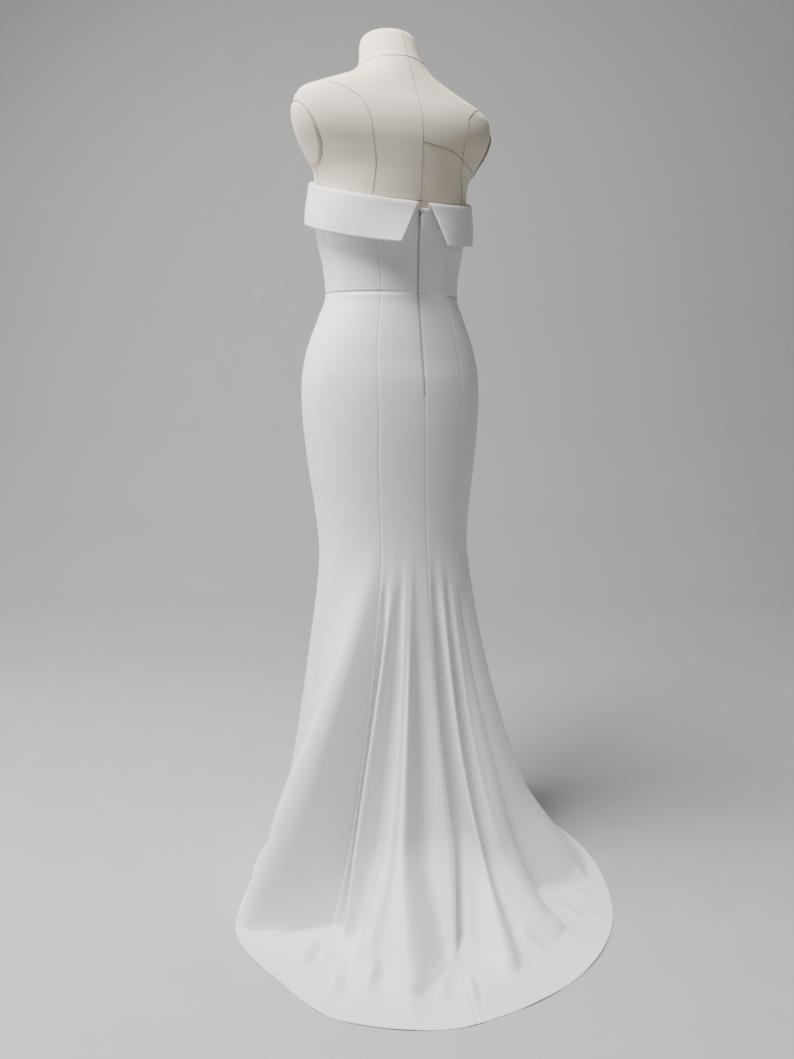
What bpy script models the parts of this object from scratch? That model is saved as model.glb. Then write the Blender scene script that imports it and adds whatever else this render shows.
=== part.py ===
"""Strapless mermaid gown with a folded cuff and a short train, worn by a limbless dress form on a stand.

Metres, +Z up. The form faces -Y, so the gown's back and its train lie towards +Y, and the wearer's left is +X.
The origin is on the floor, on the axis of the stand's pole.

Around the figure, a place is an angle in degrees from the centre back: 0 is the centre back, +90 the wearer's
left side, 180 the centre front and -90 the right side.
"""

import bmesh
import bpy
import numpy as np
from mathutils import Matrix

# Cloth
CLOTH = 0.002
CUFF_CLOTH = 0.0024
EASE = 0.0009
SEAM_GAP = 0.0003

# Heights on the figure
TORSO_BOTTOM = 0.750
KNEE = 0.647
WAIST = 1.120
ZIP_END = 0.936
EDGE_AT_SIDE = 1.300
EDGE_RISE = -0.32
BODICE_BELOW_EDGE = 0.004

# The stand
BASE_RADIUS = 0.165
BASE_HEIGHT = 0.014
BASE_EDGE = 0.004
POLE_RADIUS = 0.014
COLLAR_RADIUS = 0.030
COLLAR_HEIGHT = 0.022

# Zip
ZIP_GAP = 0.0018
CHAIN_HALF = 0.0015
CHAIN_THICK = 0.0012
CHAIN_SUNK = 0.0004
SLIDER_TOP = 1.2630
SLIDER_SIZE = (0.0066, 0.0022, 0.0130)
PIVOT_HEIGHT = 1.2560
PIN_RADIUS = 0.0008
EYE_RADIUS = 0.0011
KNUCKLE_RADIUS = 0.0021
KNUCKLE_HALF = 0.0017
CHEEK_THICK = 0.0010
CHEEK_HALF_HEIGHT = 0.0022
CHEEK_BEYOND_PIN = 0.0016
PLATE_BEVEL = 0.0005
TAB_SIZE = (0.0056, 0.0014, 0.0270)
TAB_TOP = 0.0050
TAB_CORNER = 0.0014
NECK_BOTTOM = 0.0060

# Skirt lower part: where its axis stands on the floor, and how softly it lands
TRAIN_AXIS_Y = 0.10
LANDING = 0.018
LANDING_SLOPE = 1.2
COLUMNS_PER_FOLD = 3

# height, half width, back Y, front Y, Y of the widest place
FIGURE = (
    (0.647, 0.1472, 0.1272, -0.096, 0.000),
    (0.730, 0.1572, 0.1225, -0.098, 0.000),
    (0.800, 0.1680, 0.1210, -0.101, 0.000),
    (0.850, 0.1742, 0.1202, -0.104, 0.000),
    (0.890, 0.1782, 0.1192, -0.105, 0.000),
    (0.928, 0.1802, 0.1172, -0.105, 0.000),
    (0.966, 0.1792, 0.1142, -0.104, 0.000),
    (1.003, 0.1732, 0.1082, -0.101, 0.000),
    (1.040, 0.1612, 0.1032, -0.097, 0.000),
    (1.077, 0.1452, 0.0972, -0.092, 0.000),
    (1.120, 0.1292, 0.0902, -0.087, 0.000),
    (1.168, 0.1332, 0.0912, -0.091, 0.000),
    (1.204, 0.1412, 0.0922, -0.098, 0.000),
    (1.241, 0.1472, 0.0952, -0.106, 0.000),
    (1.270, 0.1490, 0.0990, -0.108, 0.000),
    (1.300, 0.1490, 0.1020, -0.104, 0.000),
    (1.325, 0.1520, 0.1035, -0.098, 0.002),
    (1.360, 0.1720, 0.1060, -0.088, 0.006),
    (1.380, 0.1860, 0.1070, -0.082, 0.010),
    (1.400, 0.1950, 0.1055, -0.077, 0.013),
    (1.420, 0.1990, 0.1010, -0.072, 0.015),
    (1.440, 0.1970, 0.0930, -0.067, 0.016),
    (1.455, 0.1860, 0.0850, -0.062, 0.016),
    (1.470, 0.1550, 0.0780, -0.058, 0.013),
    (1.485, 0.1180, 0.0715, -0.056, 0.008),
    (1.500, 0.0850, 0.0655, -0.056, 0.003),
    (1.515, 0.0660, 0.0595, -0.058, -0.002),
    (1.535, 0.0560, 0.0500, -0.063, -0.008),
    (1.555, 0.0530, 0.0410, -0.067, -0.013),
    (1.570, 0.0480, 0.0335, -0.066, -0.016),
    (1.579, 0.0360, 0.0190, -0.056, -0.018),
    (1.583, 0.0170, -0.0020, -0.035, -0.018),
)

# The bust: height, angle each side of the centre back, reach, and its spread in height and angle
# It also widens the figure by a share of its reach
BUST = {"height": 1.265, "angle": 146.0, "reach": 0.017, "spread_z": 0.052, "spread_angle": 22.0, "cup_ease": 0.6,
        "widening": 0.5}

# Seams above the knee, in degrees: height, right princess, left princess
SEAMS = (
    (0.647, -28.0, 34.0),
    (0.800, -27.0, 31.0),
    (0.928, -29.0, 28.5),
    (1.120, -31.0, 31.0),
    (1.340, -33.0, 33.0),
)
SIDE_SEAM = 84.0
FRONT_PRINCESS = 145.0

# The skirt's folds, round from the centre front by the left side. A line leaves the knee at an angle round the
# figure, passes its break, below which it kicks out, and its foot, where it meets the floor, and ends at the hem.
# Columns: name, angle at the knee, height, angle and reach of the break, angle and reach of the foot, and angle and
# reach of the hem, where the last three angles and reaches are round the train's axis
FOLDS = (
    ("front", 180.0, 0.20, 183.4, 0.276, 184.0, 0.326, 184.0, 0.338),
    ("front_princess_left", 145.0, 0.20, 155.7, 0.264, 158.0, 0.322, 158.0, 0.334),
    ("front_hill_left", 115.0, 0.20, 134.0, 0.258, 136.0, 0.316, 135.0, 0.328),
    ("side_left", 84.0, 0.20, 117.7, 0.244, 116.0, 0.306, 115.0, 0.328),
    ("side_back_left", 60.0, 0.20, 103.0, 0.256, 100.0, 0.338, 99.0, 0.356),
    ("ridge_left", 42.0, 0.09, 87.5, 0.347, 89.0, 0.374, 87.0, 0.386),
    ("princess_left", 34.0, 0.155, 72.7, 0.180, 70.0, 0.245, 67.0, 0.400),
    ("valley_one", 30.0, 0.15, 70.3, 0.166, 65.0, 0.238, 57.0, 0.417),
    ("ridge_one", 25.0, 0.15, 66.5, 0.190, 61.0, 0.258, 53.0, 0.427),
    ("valley_two", 19.0, 0.15, 59.6, 0.152, 57.0, 0.245, 49.0, 0.432),
    ("hill_two", 16.0, 0.15, 47.0, 0.176, 48.0, 0.350, 44.0, 0.434),
    ("dip_two", 14.5, 0.15, 43.5, 0.174, 42.0, 0.335, 40.0, 0.434),
    ("cone", 12.5, 0.15, 40.0, 0.176, 33.0, 0.362, 34.0, 0.435),
    ("valley_three", 8.5, 0.15, 24.4, 0.124, 21.0, 0.285, 25.0, 0.434),
    ("centre_back", 0.0, 0.15, 6.0, 0.134, 17.5, 0.272, 19.0, 0.430),
    ("valley_four", -5.0, 0.15, -8.0, 0.112, 13.0, 0.250, 14.0, 0.423),
    ("hill_five", -11.0, 0.12, -10.0, 0.174, 3.0, 0.335, 4.0, 0.4155),
    ("valley_six", -16.0, 0.10, -19.0, 0.168, -7.7, 0.287, -7.0, 0.409),
    ("hill_six", -21.0, 0.10, -25.5, 0.188, -19.0, 0.320, -18.0, 0.402),
    ("princess_right", -28.0, 0.14, -42.0, 0.192, -38.0, 0.252, -36.0, 0.386),
    ("ridge_right", -42.0, 0.16, -63.0, 0.216, -58.0, 0.330, -56.0, 0.365),
    ("side_back_right", -62.0, 0.18, -82.0, 0.222, -75.0, 0.338, -76.0, 0.356),
    ("side_right", -84.0, 0.20, -102.0, 0.238, -94.0, 0.338, -94.0, 0.352),
    ("front_hill_right", -115.0, 0.20, -123.7, 0.257, -120.0, 0.318, -120.0, 0.330),
    ("front_princess_right", -145.0, 0.20, -150.6, 0.263, -151.0, 0.322, -151.0, 0.334),
)
FOLD_ANGLES = (0, 2, 4, 6)
KNEE_START = 0.6

# Panels round the body: name, seam where each starts and ends, columns of the bodice's panel
PANELS = (
    ("front", "front_princess_right", "front_princess_left", 12),
    ("side_front_left", "front_princess_left", "side_left", 8),
    ("side_back_left", "side_left", "princess_left", 6),
    ("back_left", "princess_left", "centre_back", 4),
    ("back_right", "centre_back", "princess_right", 4),
    ("side_back_right", "princess_right", "side_right", 6),
    ("side_front_right", "side_right", "front_princess_right", 8),
)

# Rows of the skirt: heights above the knee, shares of the knee's height below it, and shares of the train beyond
SKIRT_HEIGHTS = (1.120, 1.077, 1.040, 1.003, 0.966, 0.936, 0.930, 0.890, 0.850, 0.800, 0.750, 0.700, 0.647)
FALL_SHARES = (0.85, 0.70, 0.56, 0.43, 0.32, 0.235, 0.165, 0.105, 0.055, 0.018)
TRAIN_SHARES = (0.0, 0.14, 0.5, 1.0)

BODICE_ROWS = 10
TORSO_HEIGHTS = (0.750, 0.800, 0.850, 0.890, 0.936, 0.966, 1.003, 1.040, 1.077, 1.120, 1.140, 1.160, 1.180, 1.200,
                 1.220, 1.240, 1.260, 1.280, 1.300, 1.320, 1.340, 1.360, 1.380, 1.400, 1.420, 1.440, 1.455, 1.470,
                 1.485, 1.500, 1.515, 1.535, 1.555, 1.570, 1.579, 1.583)
TORSO_COLUMNS = 44

# The oval plates over the form's armholes, and how far their two faces stand off the torso
ARM_PLATE_HEIGHT = 1.383
ARM_PLATE_HALF_HEIGHT = 0.046
ARM_PLATE_HALF_ANGLE = 22.0
ARM_PLATE_FACES = (0.0030, 0.0010)
ARM_PLATE_STEPS = 9

# The cuff's middle line: drop below the top edge, stand off from the bodice, share of the flare at the bottom
CUFF_LINE = (
    (0.0036, -0.0012, 0.0),
    (-0.0010, -0.0006, 0.0),
    (-0.0034, 0.0016, 0.0),
    (-0.0034, 0.0048, 0.0),
    (0.0000, 0.0072, 0.0),
    (0.0120, 0.0086, 0.10),
    (0.0300, 0.0104, 0.35),
    (0.0500, 0.0120, 0.68),
    (0.0680, 0.0132, 1.0),
)
CUFF_COLUMNS = 52
CUFF_FLARE = 0.003
CUFF_CORNER_FLARE = 0.018
CUFF_CORNER_SPREAD = 26.0
# Angles of the cuff's two ends at the top edge and at its bottom
CUFF_LEFT_END = (3.4, 16.0)
CUFF_RIGHT_END = (-6.5, -16.0)

# Finishes: colour, roughness, metallic
FINISHES = {
    "crepe": ((0.86, 0.85, 0.84, 1.0), 0.55, 0.0),
    "linen": ((0.83, 0.76, 0.64, 1.0), 0.85, 0.0),
    "zip_tape": ((0.62, 0.61, 0.60, 1.0), 0.5, 0.0),
    "zip_metal": ((0.55, 0.55, 0.56, 1.0), 0.3, 1.0),
    "stand_paint": ((0.06, 0.06, 0.065, 1.0), 0.4, 0.3),
}


def clear_scene():
    """Remove what the scene holds."""
    for thing in list(bpy.data.objects):
        bpy.data.objects.remove(thing, do_unlink=True)


def finish(name):
    """The named finish as a material, made once."""
    found = bpy.data.materials.get(name)
    if found:
        return found
    colour, roughness, metallic = FINISHES[name]
    made = bpy.data.materials.new(name)
    made.use_nodes = True
    shader = made.node_tree.nodes["Principled BSDF"]
    shader.inputs["Base Color"].default_value = colour
    shader.inputs["Roughness"].default_value = roughness
    shader.inputs["Metallic"].default_value = metallic
    made.diffuse_color = colour
    return made


def add_object(name, bm, finish_name, smooth=True):
    """Turn a bmesh into a scene object with its finish."""
    bmesh.ops.recalc_face_normals(bm, faces=bm.faces)
    mesh = bpy.data.meshes.new(name)
    bm.to_mesh(mesh)
    bm.free()
    if smooth:
        mesh.shade_smooth()
        mesh.set_sharp_from_angle(angle=np.radians(40.0))
    mesh.materials.append(finish(finish_name))
    made = bpy.data.objects.new(name, mesh)
    bpy.context.scene.collection.objects.link(made)
    return made


def smooth_through(knots, values, places):
    """A monotone cubic through (knots, values), read at places."""
    knots = np.asarray(knots, float)
    values = np.asarray(values, float)
    step = np.diff(knots)
    slope = np.diff(values) / step
    before, after = slope[:-1], slope[1:]
    heavy = 2 * step[1:] + step[:-1]
    light = step[1:] + 2 * step[:-1]
    with np.errstate(divide="ignore", invalid="ignore"):
        mean = (heavy + light) / (heavy / before + light / after)
    inner = np.where(before * after > 0, mean, 0.0)
    tangent = np.concatenate([slope[:1], inner, slope[-1:]])
    places = np.clip(places, knots[0], knots[-1])
    index = np.clip(np.searchsorted(knots, places, side="right") - 1, 0, len(step) - 1)
    t = (places - knots[index]) / step[index]
    return (
        values[index] * (1 + 2 * t) * (1 - t) ** 2
        + tangent[index] * step[index] * t * (1 - t) ** 2
        + values[index + 1] * t * t * (3 - 2 * t)
        + tangent[index + 1] * step[index] * t * t * (t - 1)
    )


def figure_point(angle, height, grow=0.0):
    """Points of the figure's surface, grown outwards; angle in degrees and height may be arrays."""
    angle, height = np.broadcast_arrays(np.asarray(angle, float), np.asarray(height, float))
    table = np.array(FIGURE).T
    half, back, front, side = (smooth_through(table[0], column, height) for column in table[1:])
    turn = np.radians(angle)
    lean = np.cos(turn)
    deep = np.where(lean > 0, back - side, side - front)
    around = (np.abs((angle + 180.0) % 360.0 - 180.0) - BUST["angle"]) / BUST["spread_angle"]
    along = (height - BUST["height"]) / BUST["spread_z"]
    bust = (BUST["reach"] + BUST["cup_ease"] * grow) * np.exp(-around ** 2 - along ** 2)
    x = (half + grow + BUST["widening"] * bust) * np.sin(turn)
    y = side + (deep + grow) * lean - bust * np.abs(lean)
    return np.stack([x, y, height], axis=-1)


def top_edge(angle):
    """Height of the gown's top edge at an angle."""
    level = np.full_like(np.asarray(angle, float), EDGE_AT_SIDE)
    for _ in range(3):
        level = EDGE_AT_SIDE + EDGE_RISE * figure_point(angle, level, EASE + CLOTH)[..., 1]
    return level


def lattice_normals(points):
    """Unit normals of a lattice of rows and columns, pointing out of the figure."""
    down = np.gradient(points, axis=0)
    across = np.gradient(points, axis=1)
    normal = np.cross(down, across)
    return normal / np.linalg.norm(normal, axis=-1, keepdims=True)


def pull_in(points, first, last):
    """Move a lattice's first and last columns inwards along its rows, by the given widths in metres."""
    moved = points.copy()
    for column, inward, width in ((0, 1, first), (-1, -2, last)):
        run = points[:, inward] - points[:, column]
        length = np.linalg.norm(run, axis=-1, keepdims=True)
        moved[:, column] += run / length * np.reshape(width, (-1, 1))
    return moved


def wall(name, outer, inner, finish_name="crepe"):
    """A closed wall between two lattices of rows and columns."""
    rows, columns = outer.shape[:2]
    bm = bmesh.new()
    sides = [[[bm.verts.new(point) for point in row] for row in side] for side in (outer, inner)]
    for near, far in ((0, 1), (1, 0)):
        layer = sides[near]
        for r in range(rows - 1):
            for c in range(columns - 1):
                bm.faces.new((layer[r][c], layer[r + 1][c], layer[r + 1][c + 1], layer[r][c + 1]))
        for c in range(columns - 1):
            r = 0 if near == 0 else rows - 1
            bm.faces.new((layer[r][c], layer[r][c + 1], sides[far][r][c + 1], sides[far][r][c]))
        for r in range(rows - 1):
            c = 0 if near == 0 else columns - 1
            bm.faces.new((layer[r][c], layer[r + 1][c], sides[far][r + 1][c], sides[far][r][c]))
    return add_object(name, bm, finish_name)


def turned(name, profile, finish_name, segments=32):
    """A solid turned about the pole's axis from (radius, height) points, closed on the axis."""
    bm = bmesh.new()
    line = [bm.verts.new((radius, 0.0, height)) for radius, height in profile]
    edges = [bm.edges.new(pair) for pair in zip(line, line[1:])]
    bmesh.ops.spin(bm, geom=line + edges, axis=(0, 0, 1), cent=(0, 0, 0), steps=segments, angle=2 * np.pi,
                   use_merge=True)
    bmesh.ops.remove_doubles(bm, verts=bm.verts, dist=1e-6)
    return add_object(name, bm, finish_name)


def box(bm, low, high):
    """Add a box between two corners."""
    centre = [(a + b) / 2 for a, b in zip(low, high)]
    size = [b - a for a, b in zip(low, high)]
    made = bmesh.ops.create_cube(bm, size=1.0)["verts"]
    bmesh.ops.scale(bm, vec=size, verts=made)
    bmesh.ops.translate(bm, vec=centre, verts=made)


def rod(bm, radius, half_length, centre, segments=16):
    """Add a rod along X."""
    made = bmesh.ops.create_cone(bm, cap_ends=True, segments=segments, radius1=radius, radius2=radius,
                                 depth=2 * half_length)["verts"]
    bmesh.ops.rotate(bm, verts=made, cent=(0, 0, 0), matrix=Matrix(((0, 0, 1), (0, 1, 0), (-1, 0, 0))))
    bmesh.ops.translate(bm, vec=centre, verts=made)


def combine(target, other, operation):
    """Join or cut one object with another by an exact Boolean."""
    other.hide_render = True
    other.display_type = "WIRE"
    modifier = target.modifiers.new(operation.lower(), "BOOLEAN")
    modifier.operation = operation
    modifier.solver = "EXACT"
    modifier.object = other


def fold_columns():
    """Place, in folds, of each column round the skirt, and the same as a closed lap."""
    count = len(FOLDS)
    return np.arange(count * COLUMNS_PER_FOLD + 1) / COLUMNS_PER_FOLD


def fold_values(places):
    """Each fold column's values, read smoothly round the skirt at the given places."""
    table = np.array([row[1:] for row in FOLDS]).T
    count = len(FOLDS)
    knots = np.arange(-3, count + 4)
    read = []
    for number, values in enumerate(table):
        lap = 360.0 if number in FOLD_ANGLES else 0.0
        around = np.concatenate([values[-3:] + lap, values, values[:4] - lap])
        read.append(smooth_through(knots, around, places))
    return read


def seam_angle(knee_angle, height):
    """The angle above the knee of a line that stands at knee_angle at the knee."""
    heights, right, left = np.array(SEAMS).T
    level = np.array([-180.0, -FRONT_PRINCESS, -SIDE_SEAM, 0.0, 0.0, 0.0, SIDE_SEAM, FRONT_PRINCESS, 180.0])
    level[3] = smooth_through(heights, right, height)
    level[5] = smooth_through(heights, left, height)
    at_knee = level.copy()
    at_knee[3] = right[0]
    at_knee[5] = left[0]
    wrapped = (knee_angle + 180.0) % 360.0 - 180.0
    return np.interp(wrapped, at_knee, level)


def landed(height):
    """A height that settles smoothly onto the floor's cloth level."""
    soft = (height + LANDING) ** 2 / (4 * LANDING)
    return CLOTH + np.where(height > LANDING, height, np.where(height < -LANDING, 0.0, soft))


def three_point_curve(places, at, first, middle, last):
    """A smooth curve through three points, the middle one at its own place from 0 to 1, that never swings past them."""
    rest = 1 - at
    slope_above, slope_below = (middle - first) / at, (last - middle) / rest
    heavy, light = 2 * rest + at, rest + 2 * at
    with np.errstate(divide="ignore", invalid="ignore"):
        mean = (heavy + light) / (heavy / slope_above + light / slope_below)
    bend = np.where(slope_above * slope_below > 0, mean, 0.0)
    start = KNEE_START * slope_above
    upper = np.clip(places / at, 0.0, 1.0)
    lower = np.clip((places - at) / rest, 0.0, 1.0)
    return (
        first
        + start * at * upper * (1 - upper) ** 2
        + (middle - first) * upper ** 2 * (3 - 2 * upper)
        + bend * at * upper ** 2 * (upper - 1)
        + bend * rest * lower * (1 - lower) ** 2
        + (last - middle) * lower ** 2 * (3 - 2 * lower)
        + slope_below * rest * lower ** 2 * (lower - 1)
    )


def on_floor(angle, reach):
    """Places on the floor, from angles and reaches round the train's axis."""
    turn = np.radians(angle)
    return np.stack([reach * np.sin(turn), TRAIN_AXIS_Y + reach * np.cos(turn)], axis=-1)


def skirt_lattice():
    """The skirt's outer surface: rows from the waist to the hem, columns round from the centre front."""
    knee_angle, break_height, *round_axis = fold_values(fold_columns())
    kick, foot, hem = (on_floor(angle, reach) for angle, reach in zip(round_axis[::2], round_axis[1::2]))
    rows = [figure_point(seam_angle(knee_angle, height), height, EASE + CLOTH) for height in SKIRT_HEIGHTS]
    knee = rows[-1][:, :2]
    break_place = (1 - break_height / KNEE)[:, None]
    for share in FALL_SHARES:
        flat = three_point_curve(1 - share, break_place, knee, kick, foot)
        rows.append(np.column_stack([flat, landed(np.full(len(flat), share * KNEE))]))
    for share in TRAIN_SHARES:
        flat = foot + share * (hem - foot)
        beyond = np.linalg.norm(flat - foot, axis=1)
        rows.append(np.column_stack([flat, landed(-LANDING_SLOPE * beyond)]))
    return np.array(rows)


def make_panels(prefix, outer, cuts, waist_row, zip_rows):
    """Cut a lattice into the seven panels and give each its thickness.

    At the waist the wall's edge is level, so that the bodice and the skirt meet squarely. The two centre back edges
    stand wider apart in the rows where the zip runs.
    """
    closed = np.concatenate([outer[:, -2:-1], outer, outer[:, 1:2]], axis=1)
    normal = lattice_normals(closed)[:, 1:-1]
    normal[waist_row, :, 2] = 0.0
    normal[waist_row] /= np.linalg.norm(normal[waist_row], axis=-1, keepdims=True)
    inner = outer - CLOTH * normal
    lying = outer[..., 2] <= CLOTH + 1e-6
    inner[lying, 0:2] = outer[lying, 0:2]
    inner[..., 2] = np.maximum(inner[..., 2], 0.0)
    inner[lying, 2] = 0.0
    for name, first, last, zip_first, zip_last in cuts:
        if first < last:
            picked = np.arange(first, last + 1)
        else:
            picked = np.concatenate([np.arange(first, outer.shape[1] - 1), np.arange(0, last + 1)])
        widths = []
        for has_zip in (zip_first, zip_last):
            width = np.full(outer.shape[0], SEAM_GAP / 2)
            if has_zip:
                width = np.where(zip_rows, ZIP_GAP, width)
            widths.append(width)
        wall(prefix + name, pull_in(outer[:, picked], *widths), pull_in(inner[:, picked], *widths))


def skirt_cuts():
    """The skirt's panels as (name, first column, last column, zip at the first, zip at the last)."""
    names = [row[0] for row in FOLDS]
    at = {name: names.index(name) * COLUMNS_PER_FOLD for name in names}
    return [(name, at[first], at[last], first == "centre_back", last == "centre_back")
            for name, first, last, _ in PANELS]


def bodice_cuts():
    """The bodice's panels, in the same form, one after another from the front's right seam."""
    cuts = []
    start = 0
    for name, first, last, columns in PANELS:
        cuts.append((name, start, start + columns, first == "centre_back", last == "centre_back"))
        start += columns
    return cuts


def make_skirt():
    """The seven skirt panels."""
    outer = skirt_lattice()
    outer[0, :, 2] -= SEAM_GAP / 2
    zip_rows = outer[:, 0, 2] >= ZIP_END - SEAM_GAP
    make_panels("skirt_", outer, skirt_cuts(), 0, zip_rows)


def bodice_lattice():
    """The bodice's outer surface, rows from the top edge down to the waist."""
    at_knee = {row[0]: row[1] for row in FOLDS}
    knee_angle = []
    for _, first, last, columns in PANELS:
        start = at_knee[first] + (360.0 if at_knee[first] < at_knee[last] else 0.0)
        knee_angle.extend(np.linspace(start, at_knee[last], columns + 1)[:-1])
    knee_angle = np.array(knee_angle + [at_knee["front_princess_right"]])
    shares = np.linspace(1.0, 0.0, BODICE_ROWS)
    rows = []
    for share in shares:
        angle = seam_angle(knee_angle, WAIST + 0.5 * share * (EDGE_AT_SIDE - WAIST))
        top = top_edge(angle) - BODICE_BELOW_EDGE
        height = WAIST + SEAM_GAP / 2 + share * (top - WAIST - SEAM_GAP / 2)
        rows.append(figure_point(angle, height, EASE + CLOTH))
    return np.array(rows)


def make_bodice():
    """The seven bodice panels."""
    outer = bodice_lattice()
    make_panels("bodice_", outer, bodice_cuts(), -1, np.full(outer.shape[0], True))


def make_cuff():
    """The doubled band folded over the top edge, open in a notch at the centre back."""
    share = np.linspace(0.0, 1.0, CUFF_COLUMNS)
    rows = []
    for drop, off, flare in CUFF_LINE:
        down = max(drop, 0.0) / CUFF_LINE[-1][0]
        left = CUFF_LEFT_END[0] + (CUFF_LEFT_END[1] - CUFF_LEFT_END[0]) * down
        right = CUFF_RIGHT_END[0] + (CUFF_RIGHT_END[1] - CUFF_RIGHT_END[0]) * down
        angle = left + share * (360.0 + right - left)
        behind = (angle + 180.0) % 360.0 - 180.0
        corner = np.exp(-(behind / CUFF_CORNER_SPREAD) ** 2)
        stand = off + flare * (CUFF_FLARE + CUFF_CORNER_FLARE * corner)
        body = figure_point(angle, top_edge(angle) - drop, EASE + CLOTH)
        beyond = figure_point(angle, top_edge(angle) - drop, EASE + CLOTH + CUFF_CLOTH)
        outward = (beyond - body) / np.linalg.norm(beyond - body, axis=-1, keepdims=True)
        rows.append(body + outward * stand[:, None])
    middle = np.array(rows)
    normal = lattice_normals(middle)
    wall("cuff", middle + CUFF_CLOTH / 2 * normal, middle - CUFF_CLOTH / 2 * normal)


def make_torso():
    """The padded form: rings of the figure from below the hip to the top of the neck."""
    angles = np.arange(TORSO_COLUMNS) * 360.0 / TORSO_COLUMNS
    bm = bmesh.new()
    rings = []
    for height in TORSO_HEIGHTS:
        points = figure_point(angles, np.full(TORSO_COLUMNS, height))
        verts = [bm.verts.new(point) for point in points]
        edges = [bm.edges.new((verts[i], verts[(i + 1) % TORSO_COLUMNS])) for i in range(TORSO_COLUMNS)]
        rings.append(edges)
    for low, high in zip(rings, rings[1:]):
        bmesh.ops.bridge_loops(bm, edges=low + high)
    for ring in (rings[0], rings[-1]):
        bmesh.ops.contextual_create(bm, geom=ring)
    add_object("form_torso", bm, "linen")


def make_arm_plate(name, side):
    """An oval plate over the form's armhole, made from the torso's points moved out."""
    across, down = np.meshgrid(np.linspace(-1, 1, ARM_PLATE_STEPS), np.linspace(-1, 1, ARM_PLATE_STEPS))
    round_across = across * np.sqrt(1 - down ** 2 / 2)
    round_down = down * np.sqrt(1 - across ** 2 / 2)
    angle = side * 90.0 + ARM_PLATE_HALF_ANGLE * round_across
    height = ARM_PLATE_HEIGHT - ARM_PLATE_HALF_HEIGHT * round_down
    layers = [figure_point(angle, height, grow) for grow in ARM_PLATE_FACES]
    wall(name, *layers, finish_name="linen")


def make_stand():
    """The weighted round base and the pole with its collar under the torso."""
    top = TORSO_BOTTOM - SEAM_GAP
    turned("stand_base", (
        (0.0, 0.0),
        (BASE_RADIUS - BASE_EDGE, 0.0),
        (BASE_RADIUS, BASE_EDGE),
        (BASE_RADIUS - BASE_EDGE / 2, BASE_HEIGHT * 0.6),
        (BASE_RADIUS * 0.5, BASE_HEIGHT * 0.9),
        (POLE_RADIUS * 1.6, BASE_HEIGHT),
        (0.0, BASE_HEIGHT),
    ), "stand_paint")
    low = BASE_HEIGHT + SEAM_GAP
    turned("stand_pole", (
        (0.0, low),
        (POLE_RADIUS, low),
        (POLE_RADIUS, top - COLLAR_HEIGHT),
        (COLLAR_RADIUS, top - COLLAR_HEIGHT * 0.7),
        (COLLAR_RADIUS, top),
        (0.0, top),
    ), "stand_paint", segments=24)


def make_zip_chain():
    """The zip's closed chain, between the two back edges from the top to the zip's end."""
    heights = [height for height in SKIRT_HEIGHTS if height > ZIP_END]
    top = float(top_edge(0.0)) - BODICE_BELOW_EDGE
    rising = np.linspace(WAIST, top, BODICE_ROWS)[1:][::-1]
    levels = np.concatenate([rising, heights, [ZIP_END + SEAM_GAP]])
    surface = figure_point(0.0, levels, EASE + CLOTH)
    sides = []
    for depth in (CHAIN_SUNK, CHAIN_SUNK + CHAIN_THICK):
        side = np.stack([surface, surface], axis=1)
        side[..., 1] -= depth
        side[:, 0, 0] = CHAIN_HALF
        side[:, 1, 0] = -CHAIN_HALF
        sides.append(side)
    wall("zip_chain", *sides, finish_name="zip_tape")


def slider_face():
    """Y of the bodice's outer surface under the slider, at its furthest out."""
    levels = np.linspace(SLIDER_TOP - SLIDER_SIZE[2], SLIDER_TOP, 5)
    return float(figure_point(0.0, levels, EASE + CLOTH)[:, 1].max())


def make_slider():
    """The slider: a plate on the chain with two cheeks and a cross pin for the pull tab."""
    width, thick, tall = SLIDER_SIZE
    back = slider_face() + SEAM_GAP
    pivot_y = back + thick + KNUCKLE_RADIUS + SEAM_GAP
    cheek = KNUCKLE_HALF + SEAM_GAP
    plate = bmesh.new()
    box(plate, (-width / 2, back, SLIDER_TOP - tall), (width / 2, back + thick, SLIDER_TOP))
    bmesh.ops.bevel(plate, geom=list(plate.edges), offset=PLATE_BEVEL, segments=2, profile=0.5, affect="EDGES",
                    material=-1)
    slider = add_object("zip_slider", plate, "zip_metal")
    for number, side in enumerate((-1, 1)):
        ear = bmesh.new()
        near, far = sorted((side * cheek, side * (cheek + CHEEK_THICK)))
        box(ear, (near, back + thick / 2, PIVOT_HEIGHT - CHEEK_HALF_HEIGHT),
            (far, pivot_y + CHEEK_BEYOND_PIN, PIVOT_HEIGHT + CHEEK_HALF_HEIGHT))
        combine(slider, add_object(f"slider_cheek_{number}", ear, "zip_metal", smooth=False), "UNION")
    pin = bmesh.new()
    rod(pin, PIN_RADIUS, cheek + CHEEK_THICK / 2, (0.0, pivot_y, PIVOT_HEIGHT), segments=12)
    combine(slider, add_object("slider_pin", pin, "zip_metal"), "UNION")
    return pivot_y


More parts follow.
